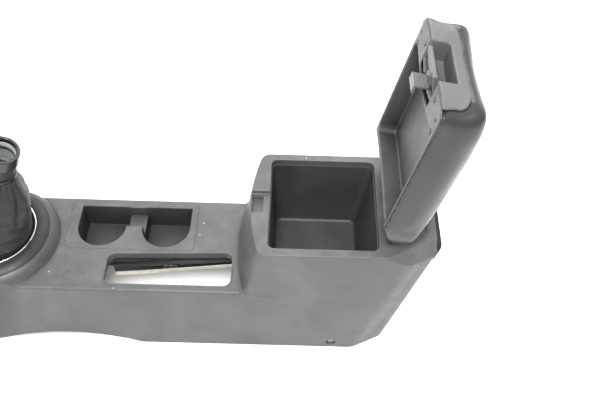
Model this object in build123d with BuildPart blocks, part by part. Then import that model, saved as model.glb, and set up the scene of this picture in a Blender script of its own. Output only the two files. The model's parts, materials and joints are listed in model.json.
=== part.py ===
from build123d import *
import os
from math import atan2, cos, degrees, radians, sin, sqrt

os.makedirs("parts", exist_ok=True)

# A car's floor console, in millimetres. X runs from the gear lever to the back seat,
# Y to the car's right, Z up. The origin is on the floor, under the middle of the whole.
# The lid is drawn closed, and then turned about its hinge to stand open, as at rest.

# Driving sizes of the moulded shell
wall = 3.0
liner = 2.5                # wall of the inserts that hang in the shell
seam = 0.4                 # gap round a flush insert or cover
base_half = 101.0          # half width on the floor
deck_z = 139.0             # height of the deck
deck_half = 88.0           # half width of the deck's flat top
deck_edge = 4.5            # rounding along the deck's sides
front_x = -411.0           # front end of the shell
front_corner = 28.0
rim_z = 254.0              # height of the storage tower's rim
rim_half = 95.0
rim_edge = 2.0
rim_steps = (1.0, 0.5, 0.2, 0.0)      # sections in the rim's rounding, in shares of its depth
rim_front_x = 128.5        # front of the rim, on the centreline
rim_front_bow = 15.0       # how far the front bows forward, from corner to middle
front_lean = 0.196         # the tower's front wall leans back by this much per mm of height
ramp_fillet = 9.0
cove_steps = (0.0, 0.12, 0.35, 1.0)   # heights in the ramp's cove, in shares of its radius
corner_ease = 0.1          # the front corners stand this far inside the line of the sides
tower_blend_x = 208.0      # where the deck's flare has run out into the tower's side
rear_x = 346.0             # rear wall, on the floor
rear_lean = 0.2126         # the rear wall leans outward by this much per mm of height
rear_half = 76.0
taper = 52.0               # length of the taper in plan ahead of the rear wall, on the floor
taper_top = 40.0           # and just under the shoulder
shoulder_z = 238.0         # where the rear shoulder starts to round in towards the rim
shoulder_x = 396.0
shoulder_half = 58.0
shoulder_taper = 70.0
front_round = 14.0
side_round = 30.0
rear_round = 15.0
arch_x = -167.0            # middle of the relief cut in the bottom edge
arch_length = 232.0
arch_height = 24.0

# Cup holder insert
cup_x0, cup_x1 = -170.5, 35.5
cup_y0, cup_y1 = -12.5, 80.0
cup_corner = 10.0
cup_flange = 2.5
cup_ledge = 3.5
cup_floor_radius = 37.0
cup_draft = 1.5            # draft of the wells' walls, in degrees
cup_centre_x = (-116.5, -13.5)
cup_centre_y = 32.5
cup_far_y = 71.0
cup_floor_z = 91.0
cup_saddle_z = 117.0       # top of the divider behind the tongue
cup_tip_y = 34.0           # the tongue between the two wells ends here
cup_edge = 1.2             # rounding along the wells' top edge

# Handbrake slot
brake_x0, brake_x1 = -96.0, 98.0
brake_near_y = -76.0
brake_far_y0, brake_far_y1 = -22.0, -15.0
brake_corner = 12.0
brake_lip = 1.0
brake_skirt = 12.0

# Gear lever surround
shift_x = -277.0
skirt_radius = 100.0       # foot of the boss, on the deck
boss_radius = 86.0
boss_z = 157.0
shift_hole = 74.0
bezel_radius = 86.7
bezel_inner = 68.5
bezel_z = 165.0
chrome_wire = 2.0
boot_radius = 62.0
boot_lean = 64.0           # how far the boot's top leans towards the rear
boot_top_z = 331.0
boot_tilt = 20.0           # tilt of the boot's top, in degrees
boot_wall = 2.5
boot_stations = ((0.0, 61.0), (0.1, 61.0), (0.35, 60.0), (0.46, 56.5), (0.55, 51.0), (0.63, 45.5), (0.7, 39.0),
                 (0.77, 31.0), (0.83, 25.0), (1.0, 22.5))
collar_outer, collar_inner, collar_height = 25.0, 20.0, 20.0
collar_edge = 1.0

# Storage bin
bin_x0, bin_x1 = 156.0, 313.0
bin_half = 82.5
bin_corner = 10.0
bin_lip = 10.0             # the rim's lip hangs this far down to the liner
bin_step = 1.5             # the liner stands this far inside the lip
bin_floor_z = 115.0
bin_floor_x0, bin_floor_x1 = 162.0, 294.0
bin_floor_half = 75.0
bin_tab_x, bin_tab_y = 144.0, 62.0

# Latch notch in the rim
notch_half = 20.0
notch_depth = 6.0
catch_slot_x0, catch_slot_x1 = 129.5, 146.5
catch_slot_half = 16.0

# Hinge well behind the bin, and the hinge
well_x0, well_x1 = 325.0, 384.0
well_half = 72.0
well_round = 40.0
well_floor_z = 242.0
well_flat_x = 354.0
well_rise = 8.0
hinge_x, hinge_z = 338.0, 290.0
open_angle = 101.0
pin_radius = 4.0
running = 0.05
ear_gap = 1.5
ear = 3.0
bracket_half = 31.0        # outside of the bracket's ears
bracket_plate = 2.5
bracket_radius = 10.0
bracket_long = 24.0         # foot plate of the bracket, along the console
bracket_rim = 3.0           # how far the foot plate stands out past the ears

# Lid, closed
lid_z = 256.0              # underside, just over the rim
lid_half = 94.0
lid_front_x = 103.0
lid_front_bow = 27.0
lid_rear_x = 374.0
lid_front_round = 24.0
lid_rear_round = 60.0
lid_edge = 30.0            # width of the rounding along the lid's sides
lid_side = 44.0            # height of the sides below the rounding
lid_crest_z = 333.0
lid_space = 100.0           # taller than the lid, for the blocks that are cut to its outline
lid_drop = lid_crest_z - lid_z - lid_side
lid_crown = ((86.0, 311.0), (143.0, 326.0), (198.0, 332.0), (268.0, 330.0), (333.0, 318.0), (366.0, 306.5))
lid_nose = (373.5, 299.0)  # tip of the rounded rear edge
lid_under = ((365.5, 291.0), (348.0, 272.0), (311.0, 256.0))
panel = 2.5                # wall of the lid's inner panel
panel_inset = 3.0          # the cover wraps this far round the panel
tray_x0, tray_x1 = 149.0, 305.0
tray_half = 86.0
tray_corner = 12.0
tray_bow = 9.0             # how far the tray's front edge bows forward
tray_top_z = 284.0
trim = 3.0                 # wall of the front trim
trim_top_z = 306.0
trim_half = 84.0
pocket_half = 36.0
pocket_top_z = 285.0
pocket_back_x = 136.0
pocket_back_z = 270.0      # the pocket's back wall is open below this for the hook
trim_round = 25.0
hinge_notch_half = 36.0
hinge_notch_x = 307.8
hinge_notch_z = 300.5
notch_rise = 7.0           # rise of the notch's ceiling towards the rear
lid_gap = 0.3
leaf_half, leaf_thick = 30.0, 2.5
leaf_low_z, leaf_high_z = 263.0, 285.0

# Latch lever
lever_x, lever_z = 126.0, 264.0
lever_pin = 2.0
lever_hub = 5.0
paddle_half = 28.0
paddle_x = 105.0
hook_half = 12.0
arm_x0, arm_x1 = 135.5, 139.5
claw_x = 149.5
claw_top_z = 244.5
spring_wire = 0.5

# Rear air vent, set in the leaning rear wall
vent_z = 221.0
vent_half = 62.0
vent_half_height = 20.0
vent_open_half = 54.0
vent_open_half_height = 13.0
vent_stand = 9.0           # how far the bezel stands off the rear wall
vent_depth = 22.0
slat_count = 3
slat_depth, slat_thick = 9.0, 1.8
slat_pin = 1.2
slat_axis = 2.0            # the slats turn this far out from the rear wall
slat_play = 0.4

# Air duct
duct_wall = 2.0
duct_y0, duct_y1 = 20.0, 80.0
duct_low_z, duct_high_z = 40.0, 73.0
duct_height = 32.0
duct_front_x = -152.0
duct_slope = 65.0           # length of the duct's rise behind the cup wells
duct_flare = 8.0            # how far the riser widens towards the vent
duct_riser_x0, duct_riser_x1 = 318.0, 346.0
duct_riser_y0 = -58.0

# Fixings
screw_x, screw_z = 258.5, 15.0
screw_recess = 8.0
screw_recess_depth = 5.0
screw_head, screw_head_height = 6.0, 2.5
screw_shank = 2.0
small_head, small_head_height, small_shank = 3.6, 1.6, 1.5
screw_play = 0.1
bracket_screw_x, bracket_screw_y = 339.0, 14.0
lid_screw_points = ((120.0, 50.0), (142.0, 79.0))
lid_screw_head, lid_screw_length = 1.2, 8.0
bracket_screw_length = 6.0
bin_screw_length = 8.0
side_screw_length = 9.0
front_bore_x, front_bore_z, front_bore = -354.0, 20.0, 3.0

rear_tilt = degrees(atan2(rear_lean, 1.0))
seam_x = 327.0             # foot of the seam between shell and rear cover
seam_top_x = 355.0
seam_bend_z = 228.0        # above this the seam slopes forward to the rim


def side_half(z):
    """Half width of the tower's straight side at a height."""
    return base_half - (base_half - rim_half) * z / rim_z


def flare_half(z):
    """Half width of the deck's flared side at a height."""
    return base_half - (base_half - deck_half) * z / deck_z


def rear_at(z):
    """Place of the rear wall at a height."""
    return rear_x + rear_lean * z


def seam_at(z):
    """Place of the seam of the rear cover, parallel to the rear wall, at a height."""
    return seam_x + rear_lean * z


def tower_front(z):
    """Place of the tower's front wall, on the centreline, at a height."""
    return rim_front_x - front_lean * (rim_z - z)


def tower_plan(z, corner_half, inset, cove=0.0, shoulder=False):
    """Plan of the storage tower at a height, moved in by an inset."""
    front = tower_front(z) + inset - cove
    side = side_half(z) - inset
    corner = corner_half - inset
    rear, half, run = rear_at(z), rear_half, taper + (taper_top - taper) * z / shoulder_z
    if shoulder:
        rear, half, run = shoulder_x, shoulder_half, shoulder_taper
    rear, half = rear - inset, half - inset / 2
    with BuildSketch(Plane.XY.offset(z)) as plan:
        with BuildLine():
            ThreePointArc((front + rim_front_bow, -corner), (front, 0), (front + rim_front_bow, corner))
            Polyline((front + rim_front_bow, corner), (tower_blend_x, side), (rear - run, side),
                     (rear, half), (rear, -half), (rear - run, -side),
                     (tower_blend_x, -side), (front + rim_front_bow, -corner))
        make_face()
        fillet(plan.vertices().group_by(Axis.X)[0], front_round - inset)
        fillet(plan.vertices().group_by(Axis.X)[-1], rear_round - inset)
        fillet(plan.vertices().filter_by_position(Axis.X, rear - run - 0.1, rear - run + 0.1), side_round - inset)
    return plan.sketch


def tower(inset, edge=0.0):
    """The storage tower as a solid, moved in by an inset, with a cove at the ramp's foot and a rounded rim."""
    low = deck_z - 15.0
    low_half = flare_half(low) - 0.2
    sections = [tower_plan(0, base_half - corner_ease, inset), tower_plan(low, low_half, inset)]
    for step in cove_steps:
        z = deck_z - inset + step * ramp_fillet
        reach = ramp_fillet * (1 - sqrt(1 - (1 - step) ** 2))
        half = low_half + (rim_half - low_half) * (z - low) / (rim_z - low)
        sections.append(tower_plan(z, half, inset, cove=reach))
    z = shoulder_z
    half = low_half + (rim_half - low_half) * (z - low) / (rim_z - low)
    sections.append(tower_plan(z, half, inset))
    for share in (rim_steps if edge else (0.0,)):
        depth = edge * (1 - sqrt(1 - (1 - share) ** 2))
        sections.append(tower_plan(rim_z - inset - edge * share, rim_half - corner_ease, inset + depth, shoulder=True))
    with BuildPart() as form:
        loft(sections, ruled=True)
    return form.part


def deck_box(inset, top):
    """The deck's flared box, moved in by an inset, up to a height."""
    with BuildPart() as form:
        with BuildSketch(Plane.YZ.offset(front_x + inset)):
            with BuildLine():
                Polyline((inset - base_half, 0), (inset - flare_half(top), top),
                         (flare_half(top) - inset, top), (base_half - inset, 0), close=True)
            make_face()
        extrude(amount=tower_blend_x - front_x - 2 * inset)
        uprights = form.faces().sort_by(Axis.X)[0].edges().filter_by(Axis.Y, reverse=True)
        fillet(uprights, front_corner - inset)
    return form.part


def deck(inset):
    """The deck with its rounded top edges, moved in by an inset."""
    with BuildPart() as form:
        add(deck_box(inset, deck_z - inset))
        top_edges = form.faces().sort_by(Axis.Z)[-1].edges()
        fillet(top_edges.sort_by(Axis.X)[:-1], deck_edge - inset / 2)
    return form.part


def rear_region(gap):
    """Everything behind the seam of the rear cover, moved forward by a gap."""
    with BuildPart() as region:
        with BuildSketch(Plane.XZ.offset(-base_half - 20)):
            with BuildLine():
                Polyline((seam_at(seam_bend_z) - gap, seam_bend_z), (seam_top_x - gap, rim_z),
                         (seam_top_x - gap, rim_z + 10), (shoulder_x + 40, rim_z + 10), (shoulder_x + 40, -10),
                         (seam_at(-10) - gap, -10), close=True)
            make_face()
        extrude(amount=2 * base_half + 40)
    return region.part


def well_solid(inset, floor_drop, top):
    """The hinge well's space, moved out by a negative inset and down by a drop."""
    with BuildPart() as form:
        with BuildSketch(Plane.XZ.offset(-well_half - 5)):
            with BuildLine():
                Polyline((well_x0 - 10, well_floor_z - floor_drop), (well_flat_x, well_floor_z - floor_drop),
                         (well_x1 + 10, well_floor_z + well_rise - floor_drop), (well_x1 + 10, top),
                         (well_x0 - 10, top), close=True)
            make_face()
        extrude(amount=2 * well_half + 10)
        with BuildSketch(Plane.XY.offset(well_floor_z - 20)):
            with Locations(((well_x0 + well_x1) / 2, 0)):
                Rectangle(well_x1 - well_x0 - 2 * inset, 2 * (well_half - inset))
        extrude(amount=60, mode=Mode.INTERSECT)
        uprights = form.edges().filter_by(Axis.Z).sort_by(Axis.X)
        fillet(uprights[2:4], well_round - inset)
        fillet(uprights[0:2], 6.0 - inset)
    return form.part


def plan_box(x0, x1, half, corner, z, height):
    """An upright box with rounded corners, centred on the console's middle plane."""
    with BuildPart() as form:
        with BuildSketch(Plane.XY.offset(z)):
            with Locations(((x0 + x1) / 2, 0)):
                RectangleRounded(x1 - x0, 2 * half, corner)
        extrude(amount=height)
    return form.part


def cup_box(grow, z, height):
    """An upright box on the outline of the cup insert, grown by a margin."""
    with BuildPart() as form:
        with BuildSketch(Plane.XY.offset(z)):
            with Locations(((cup_x0 + cup_x1) / 2, (cup_y0 + cup_y1) / 2)):
                RectangleRounded(cup_x1 - cup_x0 + 2 * grow, cup_y1 - cup_y0 + 2 * grow, cup_corner + grow)
        extrude(amount=height)
    return form.part


def brake_box(grow, z, height):
    """An upright box on the outline of the handbrake slot, grown by a margin."""
    with BuildPart() as form:
        with BuildSketch(Plane.XY.offset(z)) as outline:
            with BuildLine():
                Polyline((brake_x0, brake_near_y), (brake_x1, brake_near_y), (brake_x1, brake_far_y1),
                         (brake_x0, brake_far_y0), close=True)
            make_face()
            fillet(outline.vertices(), brake_corner)
            if grow:
                offset(amount=grow)
        extrude(amount=height)
    return form.part


# Bases used by several pieces
shell_outside = tower(0, rim_edge) + deck(0)
shell_hollow = tower(wall) + deck(wall)
rear_space = rear_region(0)
vent_plane = Plane(origin=(rear_at(vent_z), 0, vent_z), x_dir=(0, 1, 0),
                   z_dir=(cos(radians(rear_tilt)), 0, -sin(radians(rear_tilt))))

# Boss under the gear lever's ring, with a hollow skirt
with BuildPart() as shift_boss:
    with BuildSketch(Plane.XZ) as boss_half_section:
        with BuildLine():
            Polyline((shift_x, deck_z - wall), (shift_x + skirt_radius, deck_z - wall),
                     (shift_x + skirt_radius, deck_z))
            SagittaArc((shift_x + skirt_radius, deck_z), (shift_x + boss_radius, boss_z), -2.2)
            Polyline((shift_x + boss_radius, boss_z), (shift_x, boss_z), (shift_x, deck_z - wall))
        make_face()
    revolve(axis=Axis((shift_x, 0, 0), (0, 0, 1)))
    add(deck_box(0, boss_z), mode=Mode.INTERSECT)

with BuildPart() as boss_hollow:
    with BuildSketch(Plane.XY.offset(deck_z - wall - 1)):
        with Locations((shift_x, 0)):
            Circle(skirt_radius - 6)
    with BuildSketch(Plane.XY.offset(boss_z - wall)):
        with Locations((shift_x, 0)):
            Circle(boss_radius - wall)
    loft()
    add(deck_box(wall, boss_z - wall), mode=Mode.INTERSECT)

# Moulded shell: deck, ramp, storage tower and side walls in one piece, open below
with BuildPart() as console_body:
    add(shell_outside)
    add(shift_boss.part)
    add(shell_hollow, mode=Mode.SUBTRACT)
    add(boss_hollow.part, mode=Mode.SUBTRACT)
    # the rear cover's place, and the well that reaches into it
    add(rear_region(seam), mode=Mode.SUBTRACT)
    add(well_solid(-liner, liner, rim_z))
    add(well_solid(0, 0, rim_z + 10), mode=Mode.SUBTRACT)
    # the bin's opening with its lip
    add(plan_box(bin_x0 - wall, bin_x1 + wall, bin_half + wall, bin_corner + wall, rim_z - bin_lip, bin_lip))
    add(plan_box(bin_x0, bin_x1, bin_half, bin_corner, rim_z - 30, 40), mode=Mode.SUBTRACT)
    # latch notch, open to the front, with the catch slot in its floor
    notch_floor = rim_z - notch_depth
    with BuildSketch(Plane.XY.offset(notch_floor - wall)):
        with Locations(((rim_front_x + bin_x0) / 2, 0)):
            Rectangle(bin_x0 - rim_front_x - 2, 2 * notch_half + 2 * wall)
    extrude(amount=wall + notch_depth - wall / 2)
    with BuildSketch(Plane.XY.offset(notch_floor)):
        with Locations(((rim_front_x + bin_x0) / 2, 0)):
            Rectangle(bin_x0 - rim_front_x + 40, 2 * notch_half)
    extrude(amount=notch_depth + 5, mode=Mode.SUBTRACT)
    with BuildSketch(Plane.XY.offset(notch_floor - 2 * wall)):
        with Locations(((catch_slot_x0 + catch_slot_x1) / 2, 0)):
            Rectangle(catch_slot_x1 - catch_slot_x0, 2 * catch_slot_half)
    extrude(amount=3 * wall, mode=Mode.SUBTRACT)
    # bosses for the bin's two screws, and holes for the hinge bracket's screws
    with BuildSketch(Plane.XY.offset(rim_z - bin_lip)):
        with Locations((bin_tab_x, bin_tab_y), (bin_tab_x, -bin_tab_y)):
            Circle(small_shank + wall)
    extrude(amount=bin_lip - wall / 2)
    with BuildSketch(Plane.XY.offset(rim_z - bin_lip - 1)):
        with Locations((bin_tab_x, bin_tab_y), (bin_tab_x, -bin_tab_y)):
            Circle(small_shank + screw_play)
    extrude(amount=bin_lip - wall + 1, mode=Mode.SUBTRACT)
    with BuildSketch(Plane.XY.offset(well_floor_z - 2 * liner)):
        with Locations((bracket_screw_x, bracket_screw_y), (bracket_screw_x, -bracket_screw_y)):
            Circle(small_shank + screw_play)
    extrude(amount=3 * liner, mode=Mode.SUBTRACT)
    # relief cut in the bottom edge
    arch_radius = (arch_length ** 2 / 4 + arch_height ** 2) / (2 * arch_height)
    with BuildSketch(Plane.XZ.offset(-base_half - 5)):
        with Locations((arch_x, arch_height - arch_radius)):
            Circle(arch_radius)
    extrude(amount=2 * base_half + 10, mode=Mode.SUBTRACT)
    # cup insert's opening: a stepped edge with a ledge for the insert's flange
    add(cup_box(cup_ledge, deck_z - wall - cup_flange, cup_flange + 1))
    add(cup_box(seam, deck_z - cup_flange, cup_flange + 1), mode=Mode.SUBTRACT)
    add(cup_box(-cup_ledge, deck_z - 3 * wall, 4 * wall), mode=Mode.SUBTRACT)
    # handbrake slot with a raised lip and a skirt that hangs below the deck
    add(brake_box(wall - 1, deck_z - brake_skirt, brake_skirt + brake_lip))
    add(brake_box(0, deck_z - brake_skirt - 1, brake_skirt + brake_lip + 2), mode=Mode.SUBTRACT)
    # opening under the gear lever's ring
    with BuildSketch(Plane.XY.offset(deck_z - 10)):
        with Locations((shift_x, 0)):
            Circle(shift_hole)
    extrude(amount=boss_z - deck_z + 20, mode=Mode.SUBTRACT)
    # side screws in their recesses, and plain bores near the front end
    for side in (-1, 1):
        face_y = side * side_half(screw_z)
        seat = side * (side_half(screw_z) - screw_recess_depth)
        with BuildSketch(Plane.XZ.offset(-face_y + side * 1.0)):
            with Locations((screw_x, screw_z)):
                Circle(screw_recess + wall - 0.5)
        extrude(amount=side * (screw_recess_depth + wall - 1))
        with BuildSketch(Plane.XZ.offset(-seat)):
            with Locations((screw_x, screw_z)):
                Circle(screw_recess)
        extrude(amount=-side * 20, mode=Mode.SUBTRACT)
        with BuildSketch(Plane.XZ.offset(-seat - side)):
            with Locations((screw_x, screw_z)):
                Circle(screw_shank + 0.2)
        extrude(amount=side * 10, mode=Mode.SUBTRACT)
    with BuildSketch(Plane.XZ.offset(-base_half - 5)):
        with Locations((front_bore_x, front_bore_z)):
            Circle(front_bore)
    extrude(amount=2 * base_half + 10, mode=Mode.SUBTRACT)
console_body.part.label = "console_body"
export_step(console_body.part, "parts/console_body.step")

# Rear cover: shoulder, rounded corners and rear wall, with the vent's opening
with BuildPart() as rear_cover:
    add(shell_outside)
    add(shell_hollow, mode=Mode.SUBTRACT)
    add(rear_space, mode=Mode.INTERSECT)
    add(well_solid(-liner - seam, liner + seam, rim_z + 10), mode=Mode.SUBTRACT)
    with BuildSketch(vent_plane.offset(10)):
        RectangleRounded(2 * (vent_open_half + duct_wall + seam), 2 * (vent_open_half_height + duct_wall + seam), 6)
    extrude(amount=-30, mode=Mode.SUBTRACT)
rear_cover.part.label = "rear_cover"
export_step(rear_cover.part, "parts/rear_cover.step")

# Storage bin: a drafted box under the rim's lip, with a flange and two screw tabs
bin_top = rim_z - bin_lip
with BuildPart() as bin_space:
    with BuildSketch(Plane.XY.offset(bin_floor_z)):
        with Locations(((bin_floor_x0 + bin_floor_x1) / 2, 0)):
            RectangleRounded(bin_floor_x1 - bin_floor_x0, 2 * bin_floor_half, bin_corner + 2)
    with BuildSketch(Plane.XY.offset(bin_top)):
        with Locations(((bin_x0 + bin_x1) / 2, 0)):
            RectangleRounded(bin_x1 - bin_x0 - 2 * bin_step, 2 * (bin_half - bin_step), bin_corner)
    loft(ruled=True)
    fillet(bin_space.faces().sort_by(Axis.Z)[0].edges(), 5)
with BuildPart() as storage_bin:
    with BuildSketch(Plane.XY.offset(bin_floor_z - liner)):
        with Locations(((bin_floor_x0 + bin_floor_x1) / 2, 0)):
            RectangleRounded(bin_floor_x1 - bin_floor_x0 + 2 * liner, 2 * (bin_floor_half + liner), bin_corner + 4)
    with BuildSketch(Plane.XY.offset(bin_top)):
        with Locations(((bin_x0 + bin_x1) / 2, 0)):
            RectangleRounded(bin_x1 - bin_x0 - 2 * bin_step + 2 * liner, 2 * (bin_half - bin_step + liner),
                             bin_corner + 2)
    loft(ruled=True)
    add(plan_box(bin_x0 - wall, bin_x1 + wall, bin_half + wall, bin_corner + wall, bin_top - liner, liner))
    with BuildSketch(Plane.XY.offset(bin_top - liner)):
        for side in (-1, 1):
            with Locations(((bin_tab_x + bin_x0) / 2, side * bin_tab_y)):
                Rectangle(bin_x0 - bin_tab_x + 10, 14)
    extrude(amount=liner)
    add(bin_space.part, mode=Mode.SUBTRACT)
    with BuildSketch(Plane.XY.offset(bin_top - 2 * liner)):
        with Locations((bin_tab_x, bin_tab_y), (bin_tab_x, -bin_tab_y)):
            Circle(small_shank + 0.3)
    extrude(amount=3 * liner, mode=Mode.SUBTRACT)
storage_bin.part.label = "storage_bin"
export_step(storage_bin.part, "parts/storage_bin.step")

# Cup holder insert: two round wells with square backs, a tongue between them and a low hollow divider
def cup_wells(grow, top):
    """The space of the wells and of the low passage between them, grown by a wall, up to a height."""
    with BuildPart() as form:
        for x in cup_centre_x:
            with BuildSketch(Plane.XY.offset(cup_floor_z - grow)):
                with Locations((x, cup_centre_y)):
                    Circle(cup_floor_radius + grow)
                with Locations((x, (cup_centre_y + cup_far_y + grow) / 2)):
                    Rectangle(2 * (cup_floor_radius + grow), cup_far_y + grow - cup_centre_y)
            extrude(amount=top - cup_floor_z + grow, taper=-cup_draft)
        with BuildSketch(Plane.XY.offset(cup_saddle_z - grow)):
            with Locations((sum(cup_centre_x) / 2, (cup_tip_y + cup_far_y) / 2)):
                Rectangle(cup_centre_x[1] - cup_centre_x[0] - cup_floor_radius, cup_far_y - cup_tip_y + 2 * grow)
        extrude(amount=top - cup_saddle_z + grow)
    return form.part


with BuildPart() as cup_insert:
    add(cup_box(0, deck_z - cup_flange, cup_flange))
    add(cup_wells(liner, deck_z - cup_flange / 2))
    add(cup_wells(0, deck_z + 1), mode=Mode.SUBTRACT)
    top_face = cup_insert.faces().filter_by(Axis.Z).sort_by(Axis.Z)[-1]
    chamfer(top_face.inner_wires()[0].edges(), cup_edge)
cup_insert.part.label = "cup_insert"
export_step(cup_insert.part, "parts/cup_insert.step")

# Gear lever surround: a sloping ring on the boss, a bright ring in it and a ring that holds the boot
ring_axis = Axis((shift_x, 0, 0), (0, 0, 1))
chrome_seat_z = bezel_z - chrome_wire - 1.5
with BuildPart() as shift_bezel:
    with BuildSketch(Plane.XZ):
        with BuildLine():
            Polyline((shift_x + bezel_radius, boss_z + 1.2), (shift_x + bezel_radius, boss_z),
                     (shift_x + bezel_inner - 1.5, boss_z), (shift_x + bezel_inner - 1.5, boss_z - 9),
                     (shift_x + bezel_inner - 4, boss_z - 9), (shift_x + bezel_inner - 4, chrome_seat_z),
                     (shift_x + bezel_inner, chrome_seat_z), (shift_x + bezel_inner, bezel_z),
                     (shift_x + bezel_inner + 2, bezel_z))
            SagittaArc((shift_x + bezel_inner + 2, bezel_z), (shift_x + bezel_radius, boss_z + 1.2), 1.6)
        make_face()
    revolve(axis=ring_axis)
shift_bezel.part.label = "shift_bezel"
export_step(shift_bezel.part, "parts/shift_bezel.step")

with BuildPart() as chrome_ring:
    with BuildSketch(Plane.XZ):
        with Locations((shift_x + bezel_inner - 0.2 - chrome_wire, chrome_seat_z + chrome_wire)):
            RegularPolygon(chrome_wire, 8, rotation=22.5)
    revolve(axis=ring_axis)
chrome_ring.part.label = "chrome_ring"
export_step(chrome_ring.part, "parts/chrome_ring.step")

boot_foot_z = boss_z - 4
with BuildPart() as boot_retainer:
    with BuildSketch(Plane.XY.offset(boot_foot_z - 4)):
        with Locations((shift_x, 0)):
            Circle(bezel_inner - 4.2)
            Circle(boot_radius - 6, mode=Mode.SUBTRACT)
    extrude(amount=4)
boot_retainer.part.label = "boot_retainer"
export_step(boot_retainer.part, "parts/boot_retainer.step")


def boot_plane(share):
    """Plane across the boot at a share of its height: it leans more and more to the rear."""
    return Plane(origin=(shift_x + boot_lean * share ** 1.3, 0, boot_foot_z + (boot_top_z - boot_foot_z) * share),
                 z_dir=(sin(radians(boot_tilt * share)), 0, cos(radians(boot_tilt * share))))


def boot_form(inset):
    """The boot as a solid, from its foot to its neck, moved in by an inset."""
    sections = []
    for share, radius in boot_stations:
        with BuildSketch(boot_plane(share)) as section:
            Circle(radius - inset)
        sections.append(section.sketch)
    with BuildPart() as form:
        loft(sections, ruled=True)
    return form.part


with BuildPart() as shift_boot:
    add(boot_form(0))
    add(boot_form(boot_wall), mode=Mode.SUBTRACT)
shift_boot.part.label = "shift_boot"
export_step(shift_boot.part, "parts/shift_boot.step")

with BuildPart() as boot_collar:
    with BuildSketch(boot_plane(1.0)):
        Circle(collar_outer)
        Circle(collar_inner, mode=Mode.SUBTRACT)
    extrude(amount=collar_height)
    chamfer(boot_collar.edges().filter_by(GeomType.CIRCLE), collar_edge)
boot_collar.part.label = "boot_collar"
export_step(boot_collar.part, "parts/boot_collar.step")

# Rear air vent: a housing with a proud bezel and upright guide ribs, and slats that tilt in it
vent_box_half, vent_box_half_height = vent_open_half + duct_wall, vent_open_half_height + duct_wall
slat_pitch = 2 * vent_open_half_height / slat_count
slat_places = [(i - (slat_count - 1) / 2) * slat_pitch for i in range(slat_count)]
with BuildPart() as vent_housing:
    with BuildSketch(vent_plane):
        RectangleRounded(2 * vent_half, 2 * vent_half_height, 9)
    extrude(amount=vent_stand)
    fillet(vent_housing.faces().sort_by(Axis(vent_plane.origin, vent_plane.z_dir))[-1].edges(), 2.5)
    with BuildSketch(vent_plane):
        RectangleRounded(2 * vent_box_half, 2 * vent_box_half_height, 5)
    extrude(amount=-vent_depth)
    with BuildSketch(vent_plane.offset(-vent_depth - 1)):
        RectangleRounded(2 * vent_open_half, 2 * vent_open_half_height, 3)
    extrude(amount=vent_depth + vent_stand + 2, mode=Mode.SUBTRACT)
    with BuildSketch(vent_plane.offset(-vent_depth)):
        with GridLocations(vent_open_half / 3, 0, 5, 1):
            Rectangle(1.5, 2 * vent_open_half_height + 1)
    extrude(amount=vent_depth - 8)
    side_plane = Plane(origin=vent_plane.origin, x_dir=vent_plane.z_dir, z_dir=(0, 1, 0))
    with BuildSketch(side_plane.offset(-vent_box_half + 0.5)):
        with Locations(*[(slat_axis, -v) for v in slat_places]):
            Circle(slat_pin + running)
    extrude(amount=2 * vent_box_half - 1, mode=Mode.SUBTRACT)
vent_housing.part.label = "vent_housing"
export_step(vent_housing.part, "parts/vent_housing.step")

for index, v in enumerate(slat_places):
    with BuildPart() as vent_slat:
        with BuildSketch(side_plane.offset(-vent_open_half + slat_play)):
            with Locations((slat_axis, -v)):
                SlotOverall(slat_depth, slat_thick)
        extrude(amount=2 * (vent_open_half - slat_play))
        with BuildSketch(side_plane.offset(-vent_open_half - 1.2)):
            with Locations((slat_axis, -v)):
                Circle(slat_pin)
        extrude(amount=2 * (vent_open_half + 1.2))
    vent_slat.part.label = f"vent_slat_{index + 1}"
    export_step(vent_slat.part, f"parts/vent_slat_{index + 1}.step")

# Air duct: along the floor of the shell, under the bin and up to the vent behind it
vent_back = vent_plane.offset(-vent_depth).origin
up_x, up_z = vent_plane.y_dir.X * vent_box_half_height, vent_plane.y_dir.Z * vent_box_half_height
low_run = [(duct_front_x, duct_low_z), (cup_x1, duct_low_z), (cup_x1 + duct_slope, duct_high_z),
           (duct_riser_x1, duct_high_z), (duct_riser_x1, duct_high_z + duct_height),
           (cup_x1 + duct_slope, duct_high_z + duct_height), (cup_x1, duct_low_z + duct_height),
           (duct_front_x, duct_low_z + duct_height)]
duct_top_z = well_floor_z - liner - 2
riser = [(duct_riser_x0, duct_high_z), (duct_riser_x1, duct_high_z),
         (duct_riser_x1, vent_back.Z - up_z - duct_flare), (vent_back.X - up_x, vent_back.Z - up_z),
         (vent_back.X + up_x, vent_back.Z + up_z), (duct_riser_x1 + duct_flare, duct_top_z),
         (duct_riser_x0, duct_top_z)]
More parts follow.
